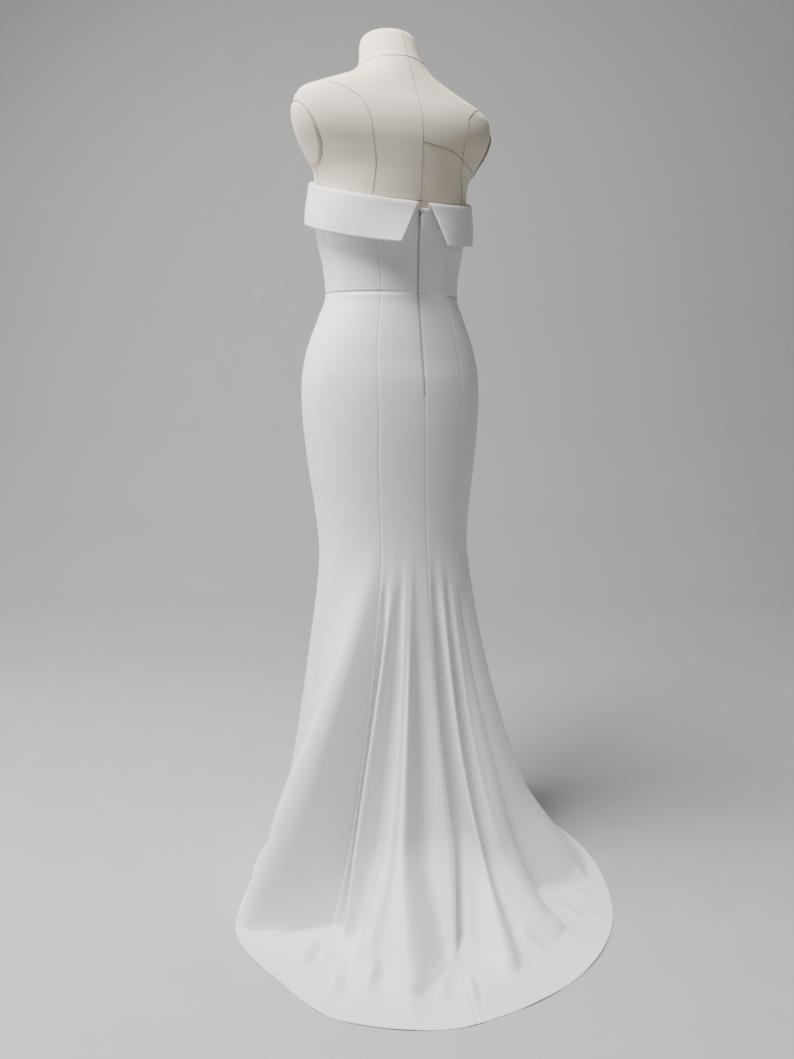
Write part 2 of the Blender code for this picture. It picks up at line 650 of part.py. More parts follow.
def make_pull(pivot_y):
    """The pull tab, with its knuckle round the slider's pin and its origin on the pin's axis."""
    width, thick, tall = TAB_SIZE
    knuckle = bmesh.new()
    rod(knuckle, KNUCKLE_RADIUS, KNUCKLE_HALF, (0.0, 0.0, 0.0), segments=20)
    pull = add_object("zip_pull", knuckle, "zip_metal")
    neck = bmesh.new()
    box(neck, (-KNUCKLE_HALF * 0.9, -thick / 2, -NECK_BOTTOM),
        (KNUCKLE_HALF * 0.9, thick / 2, -EYE_RADIUS - SEAM_GAP))
    tab = bmesh.new()
    box(tab, (-width / 2, -thick / 2, -tall), (width / 2, thick / 2, -TAB_TOP))
    corners = [edge for edge in tab.edges if abs(edge.verts[0].co.y - edge.verts[1].co.y) > thick / 2]
    bmesh.ops.bevel(tab, geom=corners, offset=TAB_CORNER, segments=3, profile=0.5, affect="EDGES", material=-1)
    eye = bmesh.new()
    rod(eye, EYE_RADIUS, KNUCKLE_HALF * 2, (0.0, 0.0, 0.0), segments=20)
    place = (0.0, pivot_y, PIVOT_HEIGHT)
    pull.location = place
    for name, shape, operation in (("pull_neck", neck, "UNION"), ("pull_tab", tab, "UNION"),
                                   ("pull_eye", eye, "DIFFERENCE")):
        other = add_object(name, shape, "zip_metal", smooth=False)
        other.location = place
        combine(pull, other, operation)


def build():
    """Build every piece of the gown, the form and the stand."""
    clear_scene()
    make_torso()
    make_arm_plate("form_arm_plate_left", 1)
    make_arm_plate("form_arm_plate_right", -1)
    make_stand()
    make_skirt()
    make_bodice()
    make_cuff()
    make_zip_chain()
    make_pull(make_slider())


build()
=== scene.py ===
"""Looks of a strapless mermaid gown on a limbless dress form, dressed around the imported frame.

Metres, +Z up. The form faces -Y, so the gown's back and its train lie towards +Y, and the wearer's left is
+X. A place round the figure is an angle in degrees from the centre back: 0 is the centre back, +90 the
wearer's left side, 180 the centre front and -90 the right side.
"""

import logging
import math
from dataclasses import dataclass, field
from enum import Enum

import bmesh
import bpy
import numpy as np
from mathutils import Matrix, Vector


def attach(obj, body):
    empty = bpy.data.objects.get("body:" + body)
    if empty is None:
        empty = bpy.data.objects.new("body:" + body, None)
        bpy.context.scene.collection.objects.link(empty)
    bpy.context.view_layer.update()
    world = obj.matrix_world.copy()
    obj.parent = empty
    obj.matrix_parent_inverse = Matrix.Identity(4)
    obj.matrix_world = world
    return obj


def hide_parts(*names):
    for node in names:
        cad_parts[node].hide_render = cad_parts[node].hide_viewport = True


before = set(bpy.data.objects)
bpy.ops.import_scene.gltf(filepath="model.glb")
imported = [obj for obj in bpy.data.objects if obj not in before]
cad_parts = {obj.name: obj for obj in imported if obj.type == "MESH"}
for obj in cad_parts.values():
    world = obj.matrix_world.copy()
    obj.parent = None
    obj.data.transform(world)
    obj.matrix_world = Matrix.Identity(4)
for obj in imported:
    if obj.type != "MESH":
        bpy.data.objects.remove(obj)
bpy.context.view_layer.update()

LOG = logging.getLogger("gown")

# Heights and cloth, as in the frame
FRAME_CLOTH = 0.002
EASE = 0.0009
KNEE = 0.647
WAIST = 1.120
ZIP_END = 0.936
EDGE_AT_SIDE = 1.300
EDGE_RISE = -0.32
BODICE_BELOW_EDGE = 0.004
SEAM_GAP = 0.0003
TRAIN_AXIS_Y = 0.10
LANDING = 0.018
LANDING_SLOPE = 1.2
SIDE_SEAM = 84.0
BODICE_SEAM_SHARE = 0.5

# Finer looks
SHEET_THICKNESS = 0.0015
KNEE_START = 0.6
ROWS_CROWD = 1.35
SEAM_DIP = 0.0006
SEAM_DIP_WIDTH = 0.0022
HEM_FOLD = 0.007
HEM_STEP = 0.0015
HEM_PROUD = 0.0005
KNEE_BLEND = 0.05
KNEE_PASSES = 16
TRAIN_CROWD = 1.6
SEAM_CROWD = 0.65
ZIP_EDGE_WIDTH = 0.004
ZIP_EDGE_OPEN = 0.0016
LOWEST_CLOTH = 0.0016
CREASE_END = 0.04
CREASE_FADE = 0.7
FURROW_FADE = 0.35
WELD_DISTANCE = 2e-5
NORMAL_STEP = 0.01
EDGE_PASSES = 3
TABLE_LAP = 3
LINE_SEGMENTS = 2

# Scales and shares of the shared surfaces
THREAD_HEIGHT = 0.25
SLUB_SCALE = 0.35
CLOUD_SCALE = 9.0
WEAR_SCALE = 14.0
WEAR_FROM = 0.35
WEAR_TO = 0.75
WEAVE_STRENGTH = 0.5
GRAIN_STRENGTH = 0.4

Array = np.ndarray


def smooth_through(knots: Array, values: Array, places: Array) -> Array:
    """Read a monotone cubic that runs through given points.

    Args:
        knots: rising places of the points.
        values: value at each point.
        places: where to read.

    Returns:
        The value at each place.
    """
    knots = np.asarray(knots, float)
    values = np.asarray(values, float)
    step = np.diff(knots)
    slope = np.diff(values) / step
    before, after = slope[:-1], slope[1:]
    heavy = 2 * step[1:] + step[:-1]
    light = step[1:] + 2 * step[:-1]
    with np.errstate(divide="ignore", invalid="ignore"):
        mean = (heavy + light) / (heavy / before + light / after)
    inner = np.where(before * after > 0, mean, 0.0)
    tangent = np.concatenate([slope[:1], inner, slope[-1:]])
    places = np.clip(places, knots[0], knots[-1])
    index = np.clip(np.searchsorted(knots, places, side="right") - 1, 0, len(step) - 1)
    t = (places - knots[index]) / step[index]
    return (
        values[index] * (1 + 2 * t) * (1 - t) ** 2
        + tangent[index] * step[index] * t * (1 - t) ** 2
        + values[index + 1] * t * t * (3 - 2 * t)
        + tangent[index + 1] * step[index] * t * t * (t - 1)
    )


def bell(distance: Array, width: float) -> Array:
    """A soft bump of height 1 that fades over width."""
    return np.exp(-((distance / width) ** 2))


def unit(vectors: Array) -> Array:
    """The vectors scaled to length 1."""
    return vectors / np.maximum(np.linalg.norm(vectors, axis=-1, keepdims=True), 1e-12)


def lattice_normals(points: Array) -> Array:
    """Unit normals of a lattice whose rows run up and whose columns run round from the front by the left."""
    up = np.gradient(points, axis=0)
    across = np.gradient(points, axis=1)
    return unit(np.cross(across, up))


@dataclass(frozen=True)
class Level:
    """One height of the figure: its half width, back and front depth, and where it is widest."""

    height: float
    half_width: float
    back: float
    front: float
    widest: float = 0.0


@dataclass(frozen=True)
class Bust:
    """The rounding of the figure's front."""

    height: float = 1.265
    angle: float = 146.0
    reach: float = 0.017
    spread_z: float = 0.052
    spread_angle: float = 22.0
    cup_ease: float = 0.6


@dataclass(frozen=True)
class Figure:
    """The general figure that the form and the gown share."""

    levels: tuple[Level, ...] = (
        Level(0.647, 0.1472, 0.1272, -0.096),
        Level(0.730, 0.1572, 0.1225, -0.098),
        Level(0.800, 0.1680, 0.1210, -0.101),
        Level(0.850, 0.1742, 0.1202, -0.104),
        Level(0.890, 0.1782, 0.1192, -0.105),
        Level(0.928, 0.1802, 0.1172, -0.105),
        Level(0.966, 0.1792, 0.1142, -0.104),
        Level(1.003, 0.1732, 0.1082, -0.101),
        Level(1.040, 0.1612, 0.1032, -0.097),
        Level(1.077, 0.1452, 0.0972, -0.092),
        Level(1.120, 0.1292, 0.0902, -0.087),
        Level(1.168, 0.1332, 0.0912, -0.091),
        Level(1.204, 0.1412, 0.0922, -0.098),
        Level(1.241, 0.1472, 0.0952, -0.106),
        Level(1.270, 0.1490, 0.0990, -0.108),
        Level(1.300, 0.1490, 0.1020, -0.104),
        Level(1.325, 0.1520, 0.1035, -0.098, 0.002),
        Level(1.360, 0.1720, 0.1060, -0.088, 0.006),
        Level(1.380, 0.1860, 0.1070, -0.082, 0.010),
        Level(1.400, 0.1950, 0.1055, -0.077, 0.013),
        Level(1.420, 0.1990, 0.1010, -0.072, 0.015),
        Level(1.440, 0.1970, 0.0930, -0.067, 0.016),
        Level(1.455, 0.1860, 0.0850, -0.062, 0.016),
        Level(1.470, 0.1550, 0.0780, -0.058, 0.013),
        Level(1.485, 0.1180, 0.0715, -0.056, 0.008),
        Level(1.500, 0.0850, 0.0655, -0.056, 0.003),
        Level(1.515, 0.0660, 0.0595, -0.058, -0.002),
        Level(1.535, 0.0560, 0.0500, -0.063, -0.008),
        Level(1.555, 0.0530, 0.0410, -0.067, -0.013),
        Level(1.570, 0.0480, 0.0335, -0.066, -0.016),
        Level(1.579, 0.0360, 0.0190, -0.056, -0.018),
        Level(1.583, 0.0170, -0.0020, -0.035, -0.018),
    )
    bust: Bust = Bust()

    def point(self, angle: Array, height: Array, grow: Array | float = 0.0) -> Array:
        """Points on the figure's surface.

        Args:
            angle: degrees round from the centre back.
            height: metres above the floor.
            grow: metres outwards.

        Returns:
            Points, with X, Y and Z in the last axis.
        """
        angle, height = np.broadcast_arrays(np.asarray(angle, float), np.asarray(height, float))
        heights = np.array([level.height for level in self.levels])
        half = smooth_through(heights, [level.half_width for level in self.levels], height)
        back = smooth_through(heights, [level.back for level in self.levels], height)
        front = smooth_through(heights, [level.front for level in self.levels], height)
        widest = smooth_through(heights, [level.widest for level in self.levels], height)
        turn = np.radians(angle)
        lean = np.cos(turn)
        deep = np.where(lean > 0, back - widest, widest - front)
        around = (np.abs((angle + 180.0) % 360.0 - 180.0) - self.bust.angle) / self.bust.spread_angle
        along = (height - self.bust.height) / self.bust.spread_z
        bust = (self.bust.reach + self.bust.cup_ease * grow) * np.exp(-(around**2) - along**2)
        x = (half + grow) * np.sin(turn) + 0.5 * bust * np.sin(turn)
        y = widest + (deep + grow) * lean - bust * np.abs(lean)
        return np.stack([x, y, height], axis=-1)

    def top_edge(self, angle: Array) -> Array:
        """Height of the gown's top edge at each angle."""
        level = np.full_like(np.asarray(angle, float), EDGE_AT_SIDE)
        for _ in range(EDGE_PASSES):
            level = EDGE_AT_SIDE + EDGE_RISE * self.point(angle, level, EASE + FRAME_CLOTH)[..., 1]
        return level


@dataclass(frozen=True)
class Fold:
    """One fold line of the skirt, from the knee to the hem.

    The line leaves the knee at an angle round the figure. It then passes its break, below which it kicks
    out, its foot on the floor, and the hem. Those three have an angle and a reach round the train's axis.
    """

    name: str
    knee_angle: float
    break_height: float
    break_angle: float
    break_reach: float
    foot_angle: float
    foot_reach: float
    hem_angle: float
    hem_reach: float


@dataclass(frozen=True)
class Crease:
    """A soft ridge, or a trough where height is negative, along a straight run over the cloth."""

    start: tuple[float, float, float]
    end: tuple[float, float, float]
    width: float
    height: float

    def lift(self, points: Array) -> Array:
        """How far the crease moves each point along its normal."""
        start = np.array(self.start)
        run = np.array(self.end) - start
        share = np.clip(((points - start) @ run) / (run @ run), 0.0, 1.0)
        away = np.linalg.norm(points - start - share[..., None] * run, axis=-1)
        fade = np.sin(np.pi * np.clip(share, CREASE_END, 1 - CREASE_END)) ** CREASE_FADE
        return self.height * fade * bell(away, self.width)


@dataclass(frozen=True)
class Furrow:
    """A fold line drawn deeper, or prouder where depth is negative, between two heights.

    Its width is in folds, so that it widens with the skirt.
    """

    fold: str
    width: float
    depth: float
    top: float = 0.60
    bottom: float = 0.012

    def lift(self, beside: Array, height: Array) -> Array:
        """How far the furrow moves each point along its normal.

        Args:
            beside: folds away from the line, for each column.
            height: the points' heights.

        Returns:
            Metres along the normal.
        """
        fade_in = np.clip((self.top - height) / (FURROW_FADE * self.top), 0.0, 1.0)
        fade_out = np.clip(height / self.bottom, 0.0, 1.0)
        return -self.depth * bell(beside, self.width) * np.sin(fade_in * math.pi / 2) * fade_out


class Held(Enum):
    """How a piece of cloth is held."""

    STRETCHED = "stretched"
    DRAPED = "draped"
    FOLDED = "folded"


@dataclass(frozen=True)
class Panel:
    """A cut piece: its name, the seams it runs between, and the size and area of its cut."""

    name: str
    first: str
    last: str
    skirt_cut: tuple[float, float, float]
    bodice_cut: tuple[float, float, float]


@dataclass
class GridPiece:
    """A mesh made from one flat grid whose points are moved to a lattice."""

    name: str
    points: Array
    uv: Array
    closed: bool = False

    def build(self) -> bpy.types.Object:
        """Make the object.

        Returns:
            The object, at the origin, with a map named cloth in metres.
        """
        rows, columns = self.points.shape[:2]
        bm = bmesh.new()
        bmesh.ops.create_grid(bm, x_segments=columns - 1, y_segments=rows - 1, size=1.0)
        mesh = bpy.data.meshes.new(self.name)
        bm.to_mesh(mesh)
        bm.free()
        flat = np.empty(len(mesh.vertices) * 3)
        mesh.vertices.foreach_get("co", flat)
        flat = flat.reshape(-1, 3)
        column = np.rint((flat[:, 0] + 1) / 2 * (columns - 1)).astype(int)
        row = np.rint((flat[:, 1] + 1) / 2 * (rows - 1)).astype(int)
        mesh.vertices.foreach_set("co", self.points[row, column].ravel())
        corner = np.empty(len(mesh.loops), int)
        mesh.loops.foreach_get("vertex_index", corner)
        layer = mesh.uv_layers.new(name="cloth")
        layer.data.foreach_set("uv", self.uv[row, column][corner].ravel())
        if self.closed:
            self.weld(mesh)
        mesh.update()
        mesh.shade_smooth()
        made = bpy.data.objects.new(self.name, mesh)
        bpy.context.scene.collection.objects.link(made)
        return made

    @staticmethod
    def weld(mesh: bpy.types.Mesh) -> None:
        """Join the first and last columns, and close what collapses at a pole."""
        bm = bmesh.new()
        bm.from_mesh(mesh)
        bmesh.ops.remove_doubles(bm, verts=bm.verts, dist=WELD_DISTANCE)
        bmesh.ops.holes_fill(bm, edges=bm.edges, sides=0)
        bmesh.ops.recalc_face_normals(bm, faces=bm.faces)
        bm.to_mesh(mesh)
        bm.free()


def metric_map(points: Array) -> Array:
    """A map of a lattice in metres: distance along its middle row, and height up each column."""
    across = np.linalg.norm(np.diff(points, axis=1), axis=-1)
    up = np.linalg.norm(np.diff(points, axis=0), axis=-1)
    u = np.concatenate([np.zeros((len(points), 1)), np.cumsum(across, axis=1)], axis=1)
    u -= u[:, -1:] / 2
    v = np.concatenate([np.zeros((1, points.shape[1])), np.cumsum(up, axis=0)], axis=0)
    return np.stack([u, v], axis=-1)


def add_solidify(piece: bpy.types.Object, thickness: float, offset: float) -> None:
    """Give a sheet its thickness."""
    modifier = piece.modifiers.new("thickness", "SOLIDIFY")
    modifier.thickness = thickness
    modifier.offset = offset
    modifier.use_even_offset = False


class NodeKit:
    """Short ways to add and join shader nodes in one tree."""

    def __init__(self, tree: bpy.types.NodeTree) -> None:
        """Keep the tree."""
        self.tree = tree

    def add(self, kind: str, inputs: dict | None = None, **settings: object) -> bpy.types.Node:
        """Add a node.

        Args:
            kind: the node's type.
            inputs: values or sockets for its inputs, by name or number.
            settings: its own properties.

        Returns:
            The node.
        """
        node = self.tree.nodes.new(kind)
        for key, value in settings.items():
            setattr(node, key, value)
        for key, value in (inputs or {}).items():
            if isinstance(value, bpy.types.NodeSocket):
                self.tree.links.new(value, node.inputs[key])
            else:
                node.inputs[key].default_value = value
        return node

    def math(self, operation: str, first: object, second: object = 0.0) -> bpy.types.NodeSocket:
        """A math node's result."""
        return self.add("ShaderNodeMath", {0: first, 1: second}, operation=operation).outputs[0]

    def ramp(self, factor: bpy.types.NodeSocket, low: float, high: float) -> bpy.types.NodeSocket:
        """A value stretched from 0 at low to 1 at high, and held between them."""
        node = self.add("ShaderNodeMapRange", {"Value": factor, "From Min": low, "From Max": high})
        return node.outputs["Result"]


def new_group(
    name: str, inputs: dict[str, tuple[str, object]], outputs: dict[str, str]
) -> bpy.types.NodeTree:
    """Start a shader node group with its sockets.

    Args:
        name: the group's name.
        inputs: socket type and default by socket name.
        outputs: socket type by socket name.

    Returns:
        The group's tree, with its input and output nodes.
    """
    tree = bpy.data.node_groups.new(name, "ShaderNodeTree")
    for label, (kind, default) in inputs.items():
        socket = tree.interface.new_socket(name=label, in_out="INPUT", socket_type=kind)
        if default is not None:
            socket.default_value = default
    for label, kind in outputs.items():
        tree.interface.new_socket(name=label, in_out="OUTPUT", socket_type=kind)
    tree.nodes.new("NodeGroupInput")
    tree.nodes.new("NodeGroupOutput")
    return tree


def weave_group() -> bpy.types.NodeTree:
    """A woven surface on a map in metres: the height of crossing threads, with slubs, and a soft tone."""
    found = bpy.data.node_groups.get("weave")
    if found:
        return found
    tree = new_group(
        "weave",
        {
            "Vector": ("NodeSocketVector", None),
            "Threads per metre": ("NodeSocketFloat", 1800.0),
            "Slub": ("NodeSocketFloat", 0.3),
        },
        {"Height": "NodeSocketFloat", "Tone": "NodeSocketFloat"},
    )
    kit = NodeKit(tree)
    source = tree.nodes["Group Input"]
    sink = tree.nodes["Group Output"]
    scaled = kit.add("ShaderNodeVectorMath", {0: source.outputs["Vector"]}, operation="SCALE")
    tree.links.new(source.outputs["Threads per metre"], scaled.inputs["Scale"])
    parts = kit.add("ShaderNodeSeparateXYZ", {0: scaled.outputs[0]})
    warp = kit.math("SINE", kit.math("MULTIPLY", parts.outputs["X"], math.tau))
    weft = kit.math("SINE", kit.math("MULTIPLY", parts.outputs["Y"], math.tau))
    crossing = kit.math("MULTIPLY", warp, weft)
    slub = kit.add("ShaderNodeTexNoise", {"Vector": scaled.outputs[0], "Scale": SLUB_SCALE, "Detail": 3.0})
    uneven = kit.math("MULTIPLY", kit.math("SUBTRACT", slub.outputs["Fac"], 0.5), source.outputs["Slub"])
    height = kit.math("ADD", kit.math("MULTIPLY_ADD", crossing, THREAD_HEIGHT), uneven)
    tree.links.new(height, sink.inputs["Height"])
    cloud = kit.add("ShaderNodeTexNoise", {"Vector": source.outputs["Vector"], "Scale": CLOUD_SCALE,
                                          "Detail": 4.0})
    tree.links.new(cloud.outputs["Fac"], sink.inputs["Tone"])
    return tree


def grain_group() -> bpy.types.NodeTree:
    """Fine grain on object coordinates: a height, and a mask for wear and dust."""
    found = bpy.data.node_groups.get("grain")
    if found:
        return found
    tree = new_group(
        "grain",
        {"Scale": ("NodeSocketFloat", 400.0), "Stretch": ("NodeSocketVector", (1.0, 1.0, 1.0))},
        {"Height": "NodeSocketFloat", "Mask": "NodeSocketFloat"},
    )
    kit = NodeKit(tree)
    source = tree.nodes["Group Input"]
    sink = tree.nodes["Group Output"]
    place = kit.add("ShaderNodeTexCoord")
    moved = kit.add("ShaderNodeVectorMath", {0: place.outputs["Object"], 1: source.outputs["Stretch"]},
                    operation="MULTIPLY")
    fine = kit.add("ShaderNodeTexNoise", {"Vector": moved.outputs[0], "Scale": source.outputs["Scale"],
                                         "Detail": 4.0})
    broad = kit.add("ShaderNodeTexNoise", {"Vector": moved.outputs[0], "Scale": WEAR_SCALE, "Detail": 5.0})
    tree.links.new(fine.outputs["Fac"], sink.inputs["Height"])
    tree.links.new(kit.ramp(broad.outputs["Fac"], WEAR_FROM, WEAR_TO), sink.inputs["Mask"])
    return tree


@dataclass(frozen=True)
class Finish:
    """A finish with its colour, roughness and metallic value."""

    name: str
    colour: tuple[float, float, float]
    roughness: float
    metallic: float = 0.0

    def start(self) -> tuple[bpy.types.Material, NodeKit, bpy.types.Node]:
        """Make the material.

        Returns:
            The material, a kit for its tree, and its shader.
        """
        material = bpy.data.materials.new(self.name)
        material.use_nodes = True
        kit = NodeKit(material.node_tree)
        shader = material.node_tree.nodes["Principled BSDF"]
        shader.inputs["Roughness"].default_value = self.roughness
        shader.inputs["Metallic"].default_value = self.metallic
        material.diffuse_color = (*self.colour, 1.0)
        return material, kit, shader

    def tones(self, kit: NodeKit, factor: bpy.types.NodeSocket, spread: float) -> bpy.types.NodeSocket:
        """The colour, a little darker and lighter with factor."""
        dark = tuple(channel * (1 - spread) for channel in self.colour) + (1.0,)
        light = tuple(min(channel * (1 + spread), 1.0) for channel in self.colour) + (1.0,)
        mix = kit.add("ShaderNodeMix", {"Factor": factor, "A": dark, "B": light}, data_type="RGBA")
        return mix.outputs["Result"]


@dataclass(frozen=True)
class WovenFinish(Finish):
    """Cloth: a weave on the piece's own map, a soft tone and a sheen."""

    threads: float = 1800.0
    slub: float = 0.3
    depth: float = 0.00005
    spread: float = 0.02
    sheen: float = 0.25
    sheen_roughness: float = 0.4
    specular: float = 0.35

    def build(self) -> bpy.types.Material:
        """Make the material."""
        material, kit, shader = self.start()
        place = kit.add("ShaderNodeUVMap", uv_map="cloth")
        weave = kit.add("ShaderNodeGroup", node_tree=weave_group())
        weave.inputs["Threads per metre"].default_value = self.threads
        weave.inputs["Slub"].default_value = self.slub
        kit.tree.links.new(place.outputs["UV"], weave.inputs["Vector"])
        kit.tree.links.new(self.tones(kit, weave.outputs["Tone"], self.spread), shader.inputs["Base Color"])
        bump = kit.add("ShaderNodeBump", {"Height": weave.outputs["Height"], "Strength": WEAVE_STRENGTH,
                                          "Distance": self.depth})
        kit.tree.links.new(bump.outputs["Normal"], shader.inputs["Normal"])
        shader.inputs["Sheen Weight"].default_value = self.sheen
        shader.inputs["Sheen Roughness"].default_value = self.sheen_roughness
        shader.inputs["Specular IOR Level"].default_value = self.specular
        return material


@dataclass(frozen=True)
class HardFinish(Finish):
    """Metal, enamel or zip chain: fine grain, and wear that changes its roughness and tone."""

    scale: float = 400.0
    stretch: tuple[float, float, float] = (1.0, 1.0, 1.0)
    depth: float = 0.00002
    spread: float = 0.08
    smoothest: float = 0.85
    roughest: float = 1.25
    tooth_pitch: float = 0.0

    def build(self) -> bpy.types.Material:
        """Make the material."""
        material, kit, shader = self.start()
        grain = kit.add("ShaderNodeGroup", node_tree=grain_group())
        grain.inputs["Scale"].default_value = self.scale
        grain.inputs["Stretch"].default_value = self.stretch
        mask = grain.outputs["Mask"]
        kit.tree.links.new(self.tones(kit, mask, self.spread), shader.inputs["Base Color"])
        rough = kit.add("ShaderNodeMapRange", {"Value": mask, "To Min": self.roughness * self.smoothest,
                                               "To Max": min(self.roughness * self.roughest, 1.0)})
        kit.tree.links.new(rough.outputs["Result"], shader.inputs["Roughness"])
        height = grain.outputs["Height"]
        if self.tooth_pitch:
            place = kit.add("ShaderNodeTexCoord")
            parts = kit.add("ShaderNodeSeparateXYZ", {0: place.outputs["Object"]})
            turns = kit.math("MULTIPLY", parts.outputs["Z"], math.tau / self.tooth_pitch)
            height = kit.math("ADD", kit.math("SINE", turns), height)
        bump = kit.add("ShaderNodeBump", {"Height": height, "Strength": GRAIN_STRENGTH,
                                          "Distance": self.depth})
        kit.tree.links.new(bump.outputs["Normal"], shader.inputs["Normal"])
        return material


class Slot(Enum):
    """The record's material slots that the scene's own pieces stand for."""

    CREPE = "crepe"
    LINEN = "linen"


@dataclass
class Wardrobe:
    """Every material of the part."""

    crepe: WovenFinish = WovenFinish("ivory_crepe", (0.86, 0.85, 0.83), 0.46, threads=2400.0, slub=0.5,
                                     spread=0.012, sheen=0.2, specular=0.4)
    linen: WovenFinish = WovenFinish("warm_linen", (0.81, 0.72, 0.59), 0.85, threads=900.0, slub=0.8,
                                     depth=0.00012, spread=0.03, sheen=0.12, specular=0.2)
    # The form's sewn lines: a dark colour that is painted shade of the seam grooves in the cover.
    seam_groove_shade: HardFinish = HardFinish("painted_seam_shade", (0.30, 0.26, 0.21), 0.8, spread=0.15)
    zip_tape: HardFinish = HardFinish("zip_tape_grey", (0.50, 0.48, 0.46), 0.6, depth=0.0003,
                                      tooth_pitch=0.0015)
    zip_metal: HardFinish = HardFinish("satin_nickel", (0.50, 0.47, 0.44), 0.32, metallic=1.0,
                                       stretch=(1.0, 1.0, 12.0))
    enamel: HardFinish = HardFinish("black_enamel", (0.035, 0.035, 0.038), 0.38, spread=0.2)
    made: dict[str, bpy.types.Material] = field(default_factory=dict)

    def get(self, finish: Finish) -> bpy.types.Material:
        """The finish's material, made once."""
        if finish.name not in self.made:
            self.made[finish.name] = finish.build()
        return self.made[finish.name]

    def dress(self, piece: bpy.types.Object, finish: Finish, slot: Slot) -> None:
        """Put a finish on a piece."""
        piece.data.materials.clear()
        piece.data.materials.append(self.get(finish))
        LOG.info("%s is dressed in %s", piece.name, finish.name)


